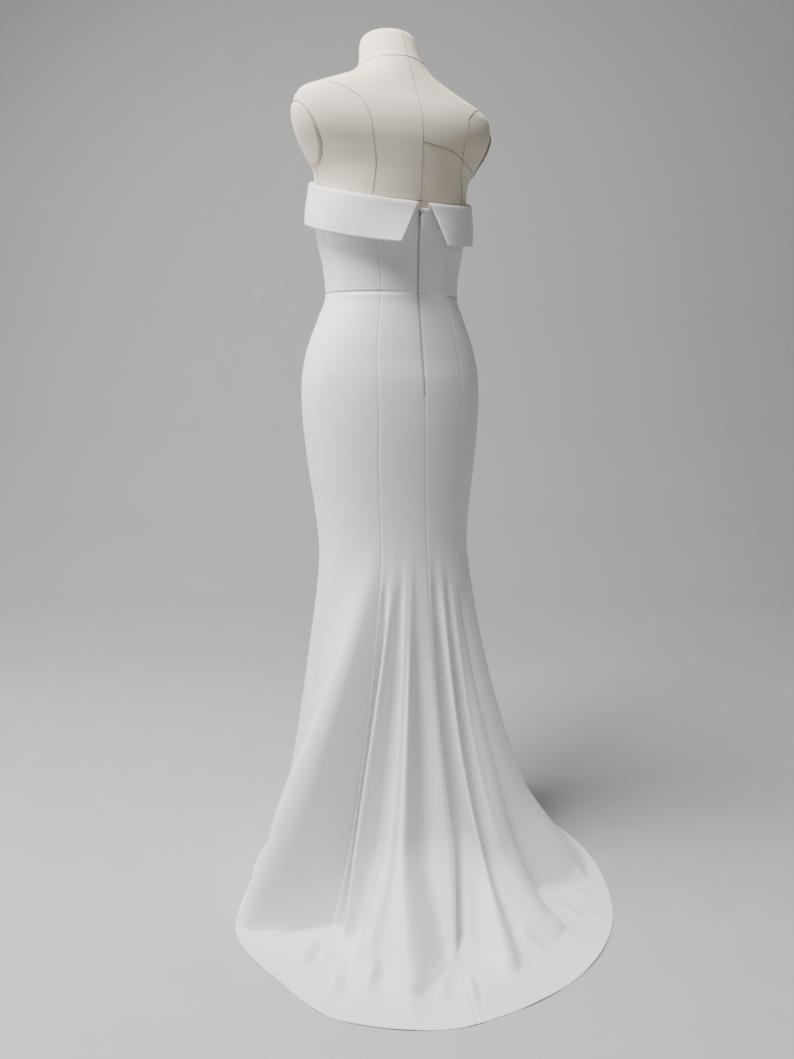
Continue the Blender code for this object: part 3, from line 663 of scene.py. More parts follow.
@dataclass
class Gown:
    """The gown's cloth: its skirt and bodice."""

    figure: Figure
    wardrobe: Wardrobe
    seam_heights: tuple[float, ...] = (0.647, 0.800, 0.928, 1.120, 1.340)
    right_princess: tuple[float, ...] = (-28.0, -27.0, -29.0, -31.0, -33.0)
    left_princess: tuple[float, ...] = (34.0, 31.0, 28.5, 31.0, 33.0)
    folds: tuple[Fold, ...] = (
        Fold("front", 180.0, 0.20, 183.4, 0.276, 184.0, 0.326, 184.0, 0.338),
        Fold("front_princess_left", 145.0, 0.20, 155.7, 0.264, 158.0, 0.322, 158.0, 0.334),
        Fold("front_hill_left", 115.0, 0.20, 134.0, 0.258, 136.0, 0.316, 135.0, 0.328),
        Fold("side_left", 84.0, 0.20, 117.7, 0.244, 116.0, 0.306, 115.0, 0.328),
        Fold("side_back_left", 60.0, 0.20, 103.0, 0.256, 100.0, 0.338, 99.0, 0.356),
        Fold("ridge_left", 42.0, 0.09, 87.5, 0.347, 89.0, 0.374, 87.0, 0.386),
        Fold("princess_left", 34.0, 0.155, 72.7, 0.180, 70.0, 0.245, 67.0, 0.400),
        Fold("valley_one", 30.0, 0.15, 70.3, 0.166, 65.0, 0.238, 57.0, 0.417),
        Fold("ridge_one", 25.0, 0.15, 66.5, 0.190, 61.0, 0.258, 53.0, 0.427),
        Fold("valley_two", 19.0, 0.15, 59.6, 0.152, 57.0, 0.245, 49.0, 0.432),
        Fold("hill_two", 16.0, 0.15, 47.0, 0.176, 48.0, 0.350, 44.0, 0.434),
        Fold("dip_two", 14.5, 0.15, 43.5, 0.174, 42.0, 0.335, 40.0, 0.434),
        Fold("cone", 12.5, 0.15, 40.0, 0.176, 33.0, 0.362, 34.0, 0.435),
        Fold("valley_three", 8.5, 0.15, 24.4, 0.124, 21.0, 0.285, 25.0, 0.434),
        Fold("centre_back", 0.0, 0.15, 6.0, 0.134, 17.5, 0.272, 19.0, 0.430),
        Fold("valley_four", -5.0, 0.15, -8.0, 0.112, 13.0, 0.250, 14.0, 0.423),
        Fold("hill_five", -11.0, 0.12, -10.0, 0.174, 3.0, 0.335, 4.0, 0.4155),
        Fold("valley_six", -16.0, 0.10, -19.0, 0.168, -7.7, 0.287, -7.0, 0.409),
        Fold("hill_six", -21.0, 0.10, -25.5, 0.188, -19.0, 0.320, -18.0, 0.402),
        Fold("princess_right", -28.0, 0.14, -42.0, 0.192, -38.0, 0.252, -36.0, 0.386),
        Fold("ridge_right", -42.0, 0.16, -63.0, 0.216, -58.0, 0.330, -56.0, 0.365),
        Fold("side_back_right", -62.0, 0.18, -82.0, 0.222, -75.0, 0.338, -76.0, 0.356),
        Fold("side_right", -84.0, 0.20, -102.0, 0.238, -94.0, 0.338, -94.0, 0.352),
        Fold("front_hill_right", -115.0, 0.20, -123.7, 0.257, -120.0, 0.318, -120.0, 0.330),
        Fold("front_princess_right", -145.0, 0.20, -150.6, 0.263, -151.0, 0.322, -151.0, 0.334),
    )
    panels: tuple[Panel, ...] = (
        Panel("front", "front_princess_right", "front_princess_left",
              (0.42, 1.16, 0.26), (0.20, 0.23, 0.039)),
        Panel("side_front_left", "front_princess_left", "side_left",
              (0.30, 1.16, 0.18), (0.15, 0.22, 0.025)),
        Panel("side_back_left", "side_left", "princess_left", (0.36, 1.20, 0.245), (0.14, 0.19, 0.018)),
        Panel("back_left", "princess_left", "centre_back", (0.42, 1.28, 0.27), (0.09, 0.16, 0.0115)),
        Panel("back_right", "centre_back", "princess_right", (0.40, 1.26, 0.23), (0.09, 0.16, 0.0115)),
        Panel("side_back_right", "princess_right", "side_right",
              (0.38, 1.20, 0.23), (0.14, 0.19, 0.018)),
        Panel("side_front_right", "side_right", "front_princess_right",
              (0.32, 1.16, 0.205), (0.15, 0.22, 0.025)),
    )
    creases: tuple[Crease, ...] = (
        Crease((0.262, 0.195, 0.01), (0.325, 0.255, 0.0), 0.011, 0.012),
        Crease((0.222, 0.185, 0.02), (0.300, 0.285, 0.0), 0.008, 0.010),
        Crease((0.235, 0.260, 0.02), (0.306, 0.343, 0.0), 0.009, 0.012),
        Crease((0.200, 0.300, 0.02), (0.262, 0.372, 0.0), 0.011, 0.012),
        Crease((0.150, 0.320, 0.02), (0.212, 0.430, 0.0), 0.013, 0.013),
        Crease((0.105, 0.360, 0.02), (0.160, 0.440, 0.0), 0.009, 0.010),
        Crease((0.082, 0.400, 0.01), (0.120, 0.470, 0.0), 0.010, 0.006),
        Crease((-0.004, 0.345, 0.02), (0.030, 0.450, 0.0), 0.011, 0.010),
        Crease((-0.050, 0.345, 0.02), (-0.050, 0.440, 0.0), 0.010, 0.010),
        Crease((-0.095, 0.320, 0.02), (-0.125, 0.410, 0.0), 0.010, 0.011),
        Crease((-0.145, 0.290, 0.02), (-0.180, 0.385, 0.0), 0.008, 0.010),
        Crease((-0.212, 0.312, 0.01), (-0.236, 0.352, 0.0), 0.010, 0.007),
        Crease((-0.248, 0.268, 0.01), (-0.272, 0.300, 0.0), 0.010, 0.007),
        Crease((-0.285, 0.115, 0.02), (-0.318, 0.155, 0.0), 0.012, 0.008),
        Crease((-0.295, 0.030, 0.02), (-0.330, 0.060, 0.0), 0.013, 0.007),
        Crease((0.285, 0.120, 0.08), (0.315, 0.050, 0.20), 0.028, -0.013),
        Crease((0.300, 0.170, 0.01), (0.360, 0.140, 0.0), 0.012, 0.009),
        Crease((0.270, -0.010, 0.05), (0.330, -0.020, 0.0), 0.015, 0.010),
        Crease((0.210, -0.110, 0.05), (0.245, -0.150, 0.0), 0.015, 0.010),
        Crease((0.050, -0.180, 0.06), (0.060, -0.225, 0.0), 0.016, 0.008),
        Crease((-0.100, -0.160, 0.06), (-0.125, -0.205, 0.0), 0.016, 0.009),
        Crease((-0.230, -0.060, 0.06), (-0.285, -0.080, 0.0), 0.015, 0.010),
        Crease((0.150, 0.060, 0.70), (0.165, 0.030, 0.58), 0.030, 0.003),
        Crease((0.158, 0.020, 0.66), (0.180, -0.020, 0.52), 0.026, -0.004),
        Crease((-0.120, 0.090, 0.66), (-0.100, 0.130, 0.54), 0.020, -0.003),
        Crease((0.145, 0.060, 1.00), (0.170, 0.010, 0.93), 0.025, 0.0015),
        Crease((0.140, 0.030, 1.19), (0.110, 0.070, 1.14), 0.012, -0.0012),
        Crease((-0.140, 0.020, 1.17), (-0.100, 0.070, 1.13), 0.012, -0.0012),
    )
    furrows: tuple[Furrow, ...] = (
        Furrow("valley_one", 0.45, 0.016),
        Furrow("ridge_one", 0.30, -0.003),
        Furrow("valley_two", 0.45, 0.012),
        Furrow("cone", 0.40, -0.004, top=0.5),
        Furrow("valley_three", 0.50, 0.010, top=0.5),
        Furrow("centre_back", 0.25, -0.002, top=0.4),
        Furrow("valley_four", 0.50, 0.018),
        Furrow("hill_five", 0.35, -0.003),
        Furrow("valley_six", 0.40, 0.011),
        Furrow("hill_six", 0.35, -0.003),
        Furrow("princess_right", 0.40, 0.009),
        Furrow("ridge_right", 0.25, -0.003),
        Furrow("side_back_right", 0.25, 0.005),
        Furrow("side_right", 0.25, 0.006),
        Furrow("front_hill_right", 0.20, -0.004),
        Furrow("side_left", 0.25, 0.006),
        Furrow("front_hill_left", 0.20, -0.004),
        Furrow("front", 0.25, 0.005),
    )
    upper_rows: int = 64
    fall_rows: int = 84
    train_rows: int = 30
    columns: int = 56
    bodice_rows: int = 40
    bodice_columns: int = 36

    def seam_angle(self, knee_angle: Array, height: Array) -> Array:
        """The angle above the knee of lines that stand at knee_angle at the knee.

        Args:
            knee_angle: degrees at the knee.
            height: metres, above the knee.

        Returns:
            Degrees at that height.
        """
        left = smooth_through(self.seam_heights, self.left_princess, height)
        right = smooth_through(self.seam_heights, self.right_princess, height)
        knee_left, knee_right = self.left_princess[0], self.right_princess[0]
        angle = (knee_angle + 180.0) % 360.0 - 180.0
        inner = np.where(angle > 0, angle * left / knee_left, angle * right / knee_right)
        spread_left = left + (angle - knee_left) * (SIDE_SEAM - left) / (SIDE_SEAM - knee_left)
        spread_right = right + (angle - knee_right) * (-SIDE_SEAM - right) / (-SIDE_SEAM - knee_right)
        turned = np.where(angle > knee_left, spread_left, np.where(angle < knee_right, spread_right, inner))
        return np.where(np.abs(angle) > SIDE_SEAM, angle, turned)

    def fold_values(self, places: Array) -> list[Array]:
        """Each column of the fold table, read smoothly round the skirt.

        Args:
            places: places in folds, from the centre front.

        Returns:
            Knee angle, break height, angle and reach, foot angle and reach, and hem angle and reach.
        """
        names = ("knee_angle", "break_height", "break_angle", "break_reach", "foot_angle", "foot_reach",
                 "hem_angle", "hem_reach")
        knots = np.arange(-TABLE_LAP, len(self.folds) + TABLE_LAP + 1)
        read = []
        for name in names:
            values = np.array([getattr(fold, name) for fold in self.folds])
            lap = 360.0 if name.endswith("angle") else 0.0
            around = np.concatenate([values[-TABLE_LAP:] + lap, values, values[:TABLE_LAP + 1] - lap])
            read.append(smooth_through(knots, around, places))
        return read

    @staticmethod
    def landed(height: Array) -> Array:
        """Heights that settle smoothly onto the cloth's level on the floor."""
        soft = (height + LANDING) ** 2 / (4 * LANDING)
        return FRAME_CLOTH + np.where(height > LANDING, height, np.where(height < -LANDING, 0.0, soft))

    def skirt_points(self, places: Array) -> Array:
        """The skirt's outer surface at the given places round it.

        Args:
            places: places in folds, from the centre front.

        Returns:
            A lattice whose rows run up from the hem to the waist.
        """
        (knee_angle, break_height, break_angle, break_reach,
         foot_angle, foot_reach, hem_angle, hem_reach) = self.fold_values(places)
        grow = EASE + FRAME_CLOTH
        heights = np.linspace(WAIST - SEAM_GAP / 2, KNEE, self.upper_rows)[:, None]
        upper = self.figure.point(self.seam_angle(knee_angle[None, :], heights), heights, grow)
        knee = upper[-1, :, :2]
        kick = self.on_floor(break_angle, break_reach)
        foot = self.on_floor(foot_angle, foot_reach)
        hem = self.on_floor(hem_angle, hem_reach)
        fallen = 1 - (1 - np.linspace(0.0, 1.0, self.fall_rows + 1)[1:, None]) ** ROWS_CROWD
        break_place = (1 - break_height / KNEE)[:, None]
        flat = self.three_point_curve(fallen[..., None], break_place, knee, kick, foot)
        fallen = np.broadcast_to(fallen, flat.shape[:2])
        fall = np.concatenate([flat, self.landed((1 - fallen) * KNEE)[..., None]], axis=-1)
        share = 1 - (1 - np.linspace(0.0, 1.0, self.train_rows + 1)[1:, None]) ** TRAIN_CROWD
        flat = foot + share[..., None] * (hem - foot)
        beyond = share * np.linalg.norm(hem - foot, axis=1)
        train = np.concatenate([flat, self.landed(-LANDING_SLOPE * beyond)[..., None]], axis=-1)
        return self.blend_knee(np.concatenate([upper, fall, train]))[::-1]

    @staticmethod
    def blend_knee(points: Array) -> Array:
        """Ease the rows near the knee, so that the flare starts softly."""
        near = np.clip(1 - np.abs(points[:, :1, 2:] - KNEE) / KNEE_BLEND, 0.0, 1.0)
        for _ in range(KNEE_PASSES):
            eased = points.copy()
            eased[1:-1] = (points[:-2] + 2 * points[1:-1] + points[2:]) / 4
            points = points + near * (eased - points)
        return points

    @staticmethod
    def three_point_curve(places: Array, at: Array, first: Array, middle: Array, last: Array) -> Array:
        """A smooth curve through three points, which never swings past them.

        Args:
            places: where to read, from 0 to 1.
            at: place of the middle point.
            first: point at 0.
            middle: point at its own place.
            last: point at 1.

        Returns:
            The curve's points.
        """
        rest = 1 - at
        slope_above, slope_below = (middle - first) / at, (last - middle) / rest
        heavy, light = 2 * rest + at, rest + 2 * at
        with np.errstate(divide="ignore", invalid="ignore"):
            mean = (heavy + light) / (heavy / slope_above + light / slope_below)
        bend = np.where(slope_above * slope_below > 0, mean, 0.0)
        start = KNEE_START * slope_above
        upper = np.clip(places / at, 0.0, 1.0)
        lower = np.clip((places - at) / rest, 0.0, 1.0)
        return (
            first
            + start * at * upper * (1 - upper) ** 2
            + (middle - first) * upper**2 * (3 - 2 * upper)
            + bend * at * upper**2 * (upper - 1)
            + bend * rest * lower * (1 - lower) ** 2
            + (last - middle) * lower**2 * (3 - 2 * lower)
            + slope_below * rest * lower**2 * (lower - 1)
        )

    @staticmethod
    def on_floor(angle: Array, reach: Array) -> Array:
        """Places on the floor, from angles and reaches round the train's axis."""
        turn = np.radians(angle)
        return np.stack([reach * np.sin(turn), TRAIN_AXIS_Y + reach * np.cos(turn)], axis=-1)

    def place_of(self, seam: str) -> int:
        """A seam's place among the folds."""
        return [fold.name for fold in self.folds].index(seam)

    def panel_places(self, panel: Panel) -> Array:
        """Places of a skirt panel's columns, closer together near its seams."""
        first, last = self.place_of(panel.first), self.place_of(panel.last)
        if last < first:
            first -= len(self.folds)
        even = np.linspace(0.0, 1.0, self.columns)
        eased = (1 - SEAM_CROWD) * even + SEAM_CROWD * (1 - np.cos(np.pi * even)) / 2
        return first + (last - first) * eased

    def furrow_lift(self, places: Array, points: Array) -> Array:
        """How far all furrows move a skirt panel's points along their normals."""
        lift = np.zeros(points.shape[:2])
        count = len(self.folds)
        for furrow in self.furrows:
            beside = (places - self.place_of(furrow.fold) + count / 2) % count - count / 2
            lift += furrow.lift(beside[None, :], points[..., 2])
        return lift

    def finish_sheet(self, points: Array, drawn: Array, zip_first: bool, zip_last: bool) -> Array:
        """Crease a panel, dip its seams, fold its hem and open it where the zip runs.

        Args:
            points: the panel's lattice.
            drawn: how far its furrows move each point.
            zip_first: whether the zip runs along its first column.
            zip_last: whether the zip runs along its last column.

        Returns:
            The finished lattice.
        """
        normal = lattice_normals(points)
        lift = sum((crease.lift(points) for crease in self.creases), drawn.copy())
        step = np.linalg.norm(np.diff(points, axis=1), axis=-1)
        along = np.concatenate([np.zeros((len(points), 1)), np.cumsum(step, axis=1)], axis=1)
        edge = np.minimum(along, along[:, -1:] - along)
        lift -= SEAM_DIP * bell(edge, SEAM_DIP_WIDTH)
        step = np.linalg.norm(np.diff(points, axis=0), axis=-1)
        from_hem = np.concatenate([np.zeros((1, points.shape[1])), np.cumsum(step, axis=0)], axis=0)
        if points[0, 0, 2] < LANDING:
            lift += HEM_PROUD * np.clip((HEM_FOLD - from_hem) / HEM_STEP, 0.0, 1.0)
        made = points + lift[..., None] * normal
        made[..., 2] = np.maximum(made[..., 2], LOWEST_CLOTH)
        has_zip = points[:, 0, 2] >= ZIP_END
        for column, inward, zipped in ((0, 1, zip_first), (-1, -2, zip_last)):
            width = np.where(has_zip & zipped, ZIP_EDGE_OPEN, 0.0)
            run = unit(points[:, inward] - points[:, column])
            near = bell(along if column == 0 else along[:, -1:] - along, ZIP_EDGE_WIDTH)
            made += (near * width[:, None])[..., None] * run[:, None, :]
        return made

    def make_panel(self, name: str, points: Array, drawn: Array, panel: Panel) -> bpy.types.Object:
        """Build one cut piece of cloth.

        Args:
            name: the object's name.
            points: its lattice, before it is finished.
            drawn: how far its furrows move each point.
            panel: the panel that it is.

        Returns:
            The piece.
        """
        made = self.finish_sheet(points, drawn, panel.first == "centre_back", panel.last == "centre_back")
        piece = GridPiece(name, made, metric_map(points)).build()
        add_solidify(piece, SHEET_THICKNESS, -1.0)
        self.wardrobe.dress(piece, self.wardrobe.crepe, Slot.CREPE)
        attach(piece, "root")
        area = float(np.linalg.norm(np.cross(np.diff(made, axis=1)[:-1], np.diff(made, axis=0)[:, :-1]),
                                    axis=-1).sum())
        LOG.info("%s: %.4f square metres of cloth", name, area)
        return piece

    def make_skirt(self) -> None:
        """The seven skirt panels."""
        for panel in self.panels:
            places = self.panel_places(panel)
            points = self.skirt_points(places)
            drawn = self.furrow_lift(places, points)
            piece = self.make_panel(f"cloth_skirt_{panel.name}", points, drawn, panel)
            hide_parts(f"skirt_{panel.name}")

    def make_bodice(self) -> None:
        """The seven bodice panels."""
        share = np.linspace(0.0, 1.0, self.bodice_rows)[:, None]
        low = WAIST + SEAM_GAP / 2
        for panel in self.panels:
            knee_angle = self.fold_values(self.panel_places(panel))[0]
            kept = np.linspace(0, len(knee_angle) - 1, self.bodice_columns).astype(int)
            seam_height = WAIST + BODICE_SEAM_SHARE * share * (EDGE_AT_SIDE - WAIST)
            angle = self.seam_angle(knee_angle[kept][None, :], seam_height)
            height = low + share * (self.figure.top_edge(angle) - BODICE_BELOW_EDGE - low)
            points = self.figure.point(angle, height, EASE + FRAME_CLOTH)
            drawn = np.zeros(points.shape[:2])
            piece = self.make_panel(f"cloth_bodice_{panel.name}", points, drawn, panel)
            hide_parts(f"bodice_{panel.name}")


@dataclass
class Cuff:
    """The doubled band folded over the gown's top edge, open in a notch at the centre back."""

    figure: Figure
    wardrobe: Wardrobe
    thickness: float = 0.0022
    drops: tuple[float, ...] = (0.0036, -0.0010, -0.0034, -0.0034, 0.0000, 0.0120, 0.0300, 0.0500, 0.0680)
    stands: tuple[float, ...] = (-0.0012, -0.0006, 0.0016, 0.0048, 0.0072, 0.0086, 0.0104, 0.0120, 0.0132)
    flares: tuple[float, ...] = (0.0, 0.0, 0.0, 0.0, 0.0, 0.10, 0.35, 0.68, 1.0)
    flare: float = 0.003
    corner_flare: float = 0.018
    corner_spread: float = 26.0
    left_end: tuple[float, float] = (3.4, 16.0)
    right_end: tuple[float, float] = (-6.5, -16.0)
    rows: int = 56
    columns: int = 200
    cut: tuple[float, float, float] = (0.90, 0.09, 0.078)

    def build(self) -> None:
        """Make the cuff."""
        knots = np.arange(len(self.drops))
        places = np.linspace(0, len(self.drops) - 1, self.rows)
        drop = smooth_through(knots, self.drops, places)[:, None]
        off = smooth_through(knots, self.stands, places)[:, None]
        flare = smooth_through(knots, self.flares, places)[:, None]
        down = np.maximum(drop, 0.0) / self.drops[-1]
        left = self.left_end[0] + (self.left_end[1] - self.left_end[0]) * down
        right = self.right_end[0] + (self.right_end[1] - self.right_end[0]) * down
        share = np.linspace(0.0, 1.0, self.columns)[None, :]
        angle = left + share * (360.0 + right - left)
        behind = (angle + 180.0) % 360.0 - 180.0
        stand = off + flare * (self.flare + self.corner_flare * bell(behind, self.corner_spread))
        height = self.figure.top_edge(angle) - drop
        body = self.figure.point(angle, height, EASE + FRAME_CLOTH)
        out = unit(self.figure.point(angle, height, EASE + FRAME_CLOTH + NORMAL_STEP) - body)
        points = (body + out * stand[..., None])[:, ::-1]
        piece = GridPiece("cloth_cuff", points[::-1], metric_map(points[::-1])).build()
        add_solidify(piece, self.thickness, 0.0)
        self.wardrobe.dress(piece, self.wardrobe.crepe, Slot.CREPE)
        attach(piece, "root")
        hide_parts("cuff")


@dataclass(frozen=True)
class CoverLine:
    """A sewn line of the form's cover: a name, and its points as angle and height."""

    name: str
    points: tuple[tuple[float, float], ...]

    def route(self, figure: Figure, grow: float, count: int = 60) -> Array:
        """Points along the line on the figure, grown outwards."""
        angle, height = np.array(self.points).T
        knots = np.arange(len(self.points))
        places = np.linspace(0, len(self.points) - 1, count)
        turn = smooth_through(knots, angle, places)
        return figure.point(turn, smooth_through(knots, height, places), grow)


def both_sides(name: str, points: tuple[tuple[float, float], ...]) -> tuple[CoverLine, CoverLine]:
    """A line on the left side and the same line on the right.

    Args:
        name: the line's name, to which the side is added.
        points: its points on the left, as angle and height.

    Returns:
        The left line and the right line.
    """
    mirrored = tuple((-angle, height) for angle, height in points)
    return CoverLine(f"{name}_left", points), CoverLine(f"{name}_right", mirrored)


@dataclass
class DressForm:
    """The padded form: its cover, arm plates and sewn lines."""

    figure: Figure
    wardrobe: Wardrobe
    bottom: float = 0.750
    shoulder: float = 1.44
    top: float = 1.583
    torso_rows: int = 110
    shoulder_rows: int = 50
    torso_columns: int = 145
    line_radius: float = 0.0006
    line_lift: float = 0.00018
    plate_height: float = 1.383
    plate_half_height: float = 0.046
    plate_half_angle: float = 22.0
    plate_shares: tuple[float, ...] = (0.0, 0.3, 0.6, 0.85, 0.96, 1.0, 1.0, 0.9, 0.5, 0.0)
    plate_lifts: tuple[float, ...] = (0.0034, 0.0034, 0.0033, 0.0032, 0.0030, 0.0024, 0.0014, 0.0010,
                                      0.0010, 0.0010)
    plate_columns: int = 73
    rim_share: float = 1.06
    rim_points: int = 72
    lines: tuple[CoverLine, ...] = (
        CoverLine("centre_back", ((0.0, 1.20), (0.0, 1.30), (0.0, 1.40), (0.0, 1.48), (0.0, 1.53),
                                  (0.0, 1.579))),
        CoverLine("centre_front", ((180.0, 1.20), (180.0, 1.30), (180.0, 1.42), (180.0, 1.50),
                                   (180.0, 1.579))),
        CoverLine("princess_left", ((36.0, 1.24), (35.0, 1.287), (31.0, 1.35), (29.0, 1.396), (32.0, 1.43),
                                    (45.0, 1.452), (70.0, 1.466))),
        CoverLine("princess_right", ((-48.0, 1.24), (-45.0, 1.30), (-36.0, 1.345), (-31.0, 1.386),
                                     (-32.0, 1.42), (-45.0, 1.45), (-70.0, 1.464))),
        *both_sides("front_princess", ((140.0, 1.24), (146.0, 1.30), (152.0, 1.36), (148.0, 1.42),
                                       (120.0, 1.452), (95.0, 1.466))),
        *both_sides("shoulder", ((88.0, 1.436), (90.0, 1.452), (92.0, 1.478), (94.0, 1.512))),
        *both_sides("side", ((90.0, 1.24), (90.0, 1.29), (90.0, 1.333))),
        CoverLine("across_back", ((0.0, 1.372), (-20.0, 1.366), (-40.0, 1.352), (-58.0, 1.345))),
        CoverLine("neck", ((0.0, 1.524), (45.0, 1.522), (90.0, 1.514), (135.0, 1.503), (180.0, 1.499),
                           (225.0, 1.503), (270.0, 1.514), (315.0, 1.522), (360.0, 1.524))),
        CoverLine("bust_tape", ((0.0, 1.276), (60.0, 1.281), (90.0, 1.290), (135.0, 1.302), (180.0, 1.306),
                                (225.0, 1.302), (270.0, 1.290), (300.0, 1.281), (360.0, 1.276))),
    )

    def build(self) -> None:
        """Make the form's pieces."""
        self.make_torso()
        for line in self.lines:
            self.make_line(line.name, line.route(self.figure, self.line_lift))
        for side, word in ((1, "left"), (-1, "right")):
            self.make_plate(side, word)

    def make_torso(self) -> None:
        """The torso's cover, closed above and below."""
        heights = np.concatenate([np.linspace(self.bottom, self.shoulder, self.torso_rows),
                                  np.linspace(self.shoulder, self.top, self.shoulder_rows)[1:]])
        angles = np.linspace(180.0, -180.0, self.torso_columns)
        points = self.figure.point(angles[None, :], heights[:, None])
        piece = GridPiece("form_cover", points, metric_map(points), closed=True).build()
        self.wardrobe.dress(piece, self.wardrobe.linen, Slot.LINEN)
        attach(piece, "root")
        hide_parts("form_torso")

    def make_line(self, name: str, route: Array) -> None:
        """A sewn line as a thin dark tube along a route; its dark colour is painted shade of the seam's
        groove.
        """
        curve = bpy.data.curves.new(name, "CURVE")
        curve.dimensions = "3D"
        curve.bevel_depth = self.line_radius
        curve.bevel_resolution = LINE_SEGMENTS
        curve.use_fill_caps = True
        spline = curve.splines.new("POLY")
        spline.points.add(len(route) - 1)
        spline.points.foreach_set("co", np.column_stack([route, np.ones(len(route))]).ravel())
        draft = bpy.data.objects.new("draft", curve)
        bpy.context.scene.collection.objects.link(draft)
        graph = bpy.context.evaluated_depsgraph_get()
        mesh = bpy.data.meshes.new_from_object(draft.evaluated_get(graph))
        bpy.data.objects.remove(draft, do_unlink=True)
        mesh.shade_smooth()
        piece = bpy.data.objects.new(f"form_line_{name}", mesh)
        bpy.context.scene.collection.objects.link(piece)
        # The tube's dark finish is painted shade of the groove along the seam.
        self.wardrobe.dress(piece, self.wardrobe.seam_groove_shade, Slot.LINEN)
        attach(piece, "root")

    def plate_route(self, side: int, share: Array, turn: Array, grow: Array | float) -> Array:
        """Places on an arm plate, from a share of its radius, a turn round it and metres outwards."""
        angle = side * 90.0 + self.plate_half_angle * share * np.sin(turn)
        height = self.plate_height - self.plate_half_height * share * np.cos(turn)
        return self.figure.point(angle, height, grow)

    def make_plate(self, side: int, word: str) -> None:
        """One oval arm plate with a rounded rim, and its sewn edge."""
        share = np.array(self.plate_shares)[:, None]
        turn = np.linspace(0.0, side * math.tau, self.plate_columns)[None, :]
        points = self.plate_route(side, share, turn, np.array(self.plate_lifts)[:, None])
        piece = GridPiece(f"form_armhole_{word}", points, metric_map(points), closed=True).build()
        self.wardrobe.dress(piece, self.wardrobe.linen, Slot.LINEN)
        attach(piece, "root")
        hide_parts(f"form_arm_plate_{word}")
        around = np.linspace(0.0, math.tau, self.rim_points)
        rim = self.plate_route(side, np.full(self.rim_points, self.rim_share), around, self.line_lift)
        # The plate's sewn edge is a dark tube too: painted shade of the groove round the plate.
        self.make_line(f"armhole_{word}", rim)


@dataclass(frozen=True)
class Lamp:
    """A square light: how far it stands back towards the camera, to the left and up, its size and watts."""

    name: str
    back: float
    left: float
    height: float
    size: float
    power: float


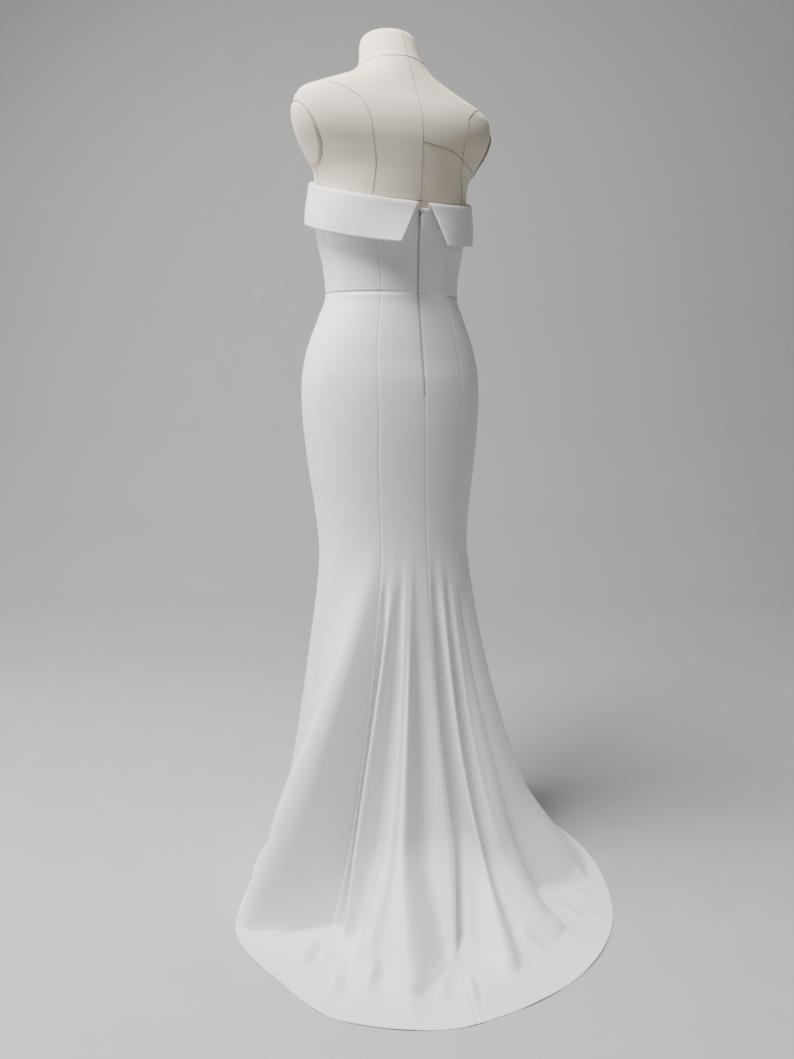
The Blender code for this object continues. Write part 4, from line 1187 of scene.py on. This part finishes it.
@dataclass
class Studio:
    """Camera, floor, backdrop and lights."""

    eye: tuple[float, float, float] = (0.8252, 1.4508, 0.964)
    yaw: float = 29.93
    pitch: float = -9.78
    lens: float = 29.24
    sensor: float = 36.0
    floor_half_width: float = 7.0
    floor_near: float = -6.0
    floor_rows: int = 24
    cove_start: float = 1.6
    cove_radius: float = 1.2
    wall_height: float = 4.0
    target: tuple[float, float, float] = (0.05, 0.1, 0.8)
    room_colour: tuple[float, float, float, float] = (0.9, 0.93, 1.0, 1.0)
    room_strength: float = 0.11
    floor: HardFinish = HardFinish("pale_floor", (0.46, 0.46, 0.465), 0.7, scale=60.0, spread=0.01)
    lamps: tuple[Lamp, ...] = (
        Lamp("overhead", back=0.7, left=0.9, height=3.1, size=1.0, power=176.0),
        Lamp("left", back=0.4, left=2.9, height=1.8, size=1.0, power=64.0),
        Lamp("right", back=1.4, left=-2.7, height=1.9, size=1.4, power=8.0),
    )

    def build(self) -> None:
        """Make everything round the object."""
        self.make_camera()
        self.make_floor()
        self.make_lights()

    def make_camera(self) -> None:
        """The camera at the photo's place."""
        data = bpy.data.cameras.new("camera")
        data.lens = self.lens
        data.sensor_fit = "AUTO"
        data.sensor_width = self.sensor
        camera = bpy.data.objects.new("camera", data)
        camera.location = self.eye
        camera.rotation_euler = (math.radians(90.0 + self.pitch), 0.0, math.radians(180.0 - self.yaw))
        bpy.context.scene.collection.objects.link(camera)
        bpy.context.scene.camera = camera

    def make_floor(self) -> None:
        """A pale floor that curves up into a backdrop."""
        bm = bmesh.new()
        bmesh.ops.create_grid(bm, x_segments=2, y_segments=self.floor_rows, size=1.0)
        mesh = bpy.data.meshes.new("floor")
        bm.to_mesh(mesh)
        bm.free()
        start, radius = self.cove_start, self.cove_radius
        arc = radius * math.pi / 2
        for vertex in mesh.vertices:
            along = (vertex.co.y + 1) / 2
            vertex.co.x *= self.floor_half_width
            travel = self.floor_near + along * (start + arc + self.wall_height - self.floor_near)
            if travel < start:
                vertex.co.y, vertex.co.z = travel, 0.0
            elif travel < start + arc:
                turn = (travel - start) / radius
                vertex.co.y, vertex.co.z = start + radius * math.sin(turn), radius * (1 - math.cos(turn))
            else:
                vertex.co.y, vertex.co.z = start + radius, radius + travel - start - arc
        mesh.shade_smooth()
        floor = bpy.data.objects.new("floor", mesh)
        floor.rotation_euler = (0.0, 0.0, math.radians(180.0 - self.yaw))
        bpy.context.scene.collection.objects.link(floor)
        mesh.materials.append(self.floor.build())

    def make_lights(self) -> None:
        """Soft studio lights: a big one overhead, one at the camera's left, and a weak one at its right."""
        side = math.radians(self.yaw)
        back = Vector((math.sin(side), math.cos(side), 0.0))
        left = Vector((math.cos(side), -math.sin(side), 0.0))
        target = Vector(self.target)
        for lamp in self.lamps:
            data = bpy.data.lights.new(lamp.name, "AREA")
            data.shape = "SQUARE"
            data.size = lamp.size
            data.energy = lamp.power
            light = bpy.data.objects.new(lamp.name, data)
            light.location = back * lamp.back + left * lamp.left + Vector((0.0, 0.0, lamp.height))
            light.rotation_euler = (target - light.location).to_track_quat("-Z", "Y").to_euler()
            bpy.context.scene.collection.objects.link(light)
        world = bpy.data.worlds.new("room")
        world.use_nodes = True
        world.node_tree.nodes["Background"].inputs["Color"].default_value = self.room_colour
        world.node_tree.nodes["Background"].inputs["Strength"].default_value = self.room_strength
        bpy.context.scene.world = world


def dress_frame_nodes(wardrobe: Wardrobe) -> None:
    """Give the frame's own nodes that stay their finishes."""
    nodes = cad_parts
    for name, finish in (
        ("stand_base", wardrobe.enamel),
        ("stand_pole", wardrobe.enamel),
        ("zip_chain", wardrobe.zip_tape),
        ("zip_slider", wardrobe.zip_metal),
        ("zip_pull", wardrobe.zip_metal),
    ):
        for slot in nodes[name].material_slots:
            slot.material = wardrobe.get(finish)


def main() -> None:
    """Build the studio, the form and the gown in order."""
    logging.basicConfig(level=logging.INFO, format="%(message)s")
    figure = Figure()
    wardrobe = Wardrobe()
    Studio().build()
    DressForm(figure, wardrobe).build()
    gown = Gown(figure, wardrobe)
    gown.make_skirt()
    gown.make_bodice()
    Cuff(figure, wardrobe).build()
    dress_frame_nodes(wardrobe)


if __name__ == "__main__":
    main()
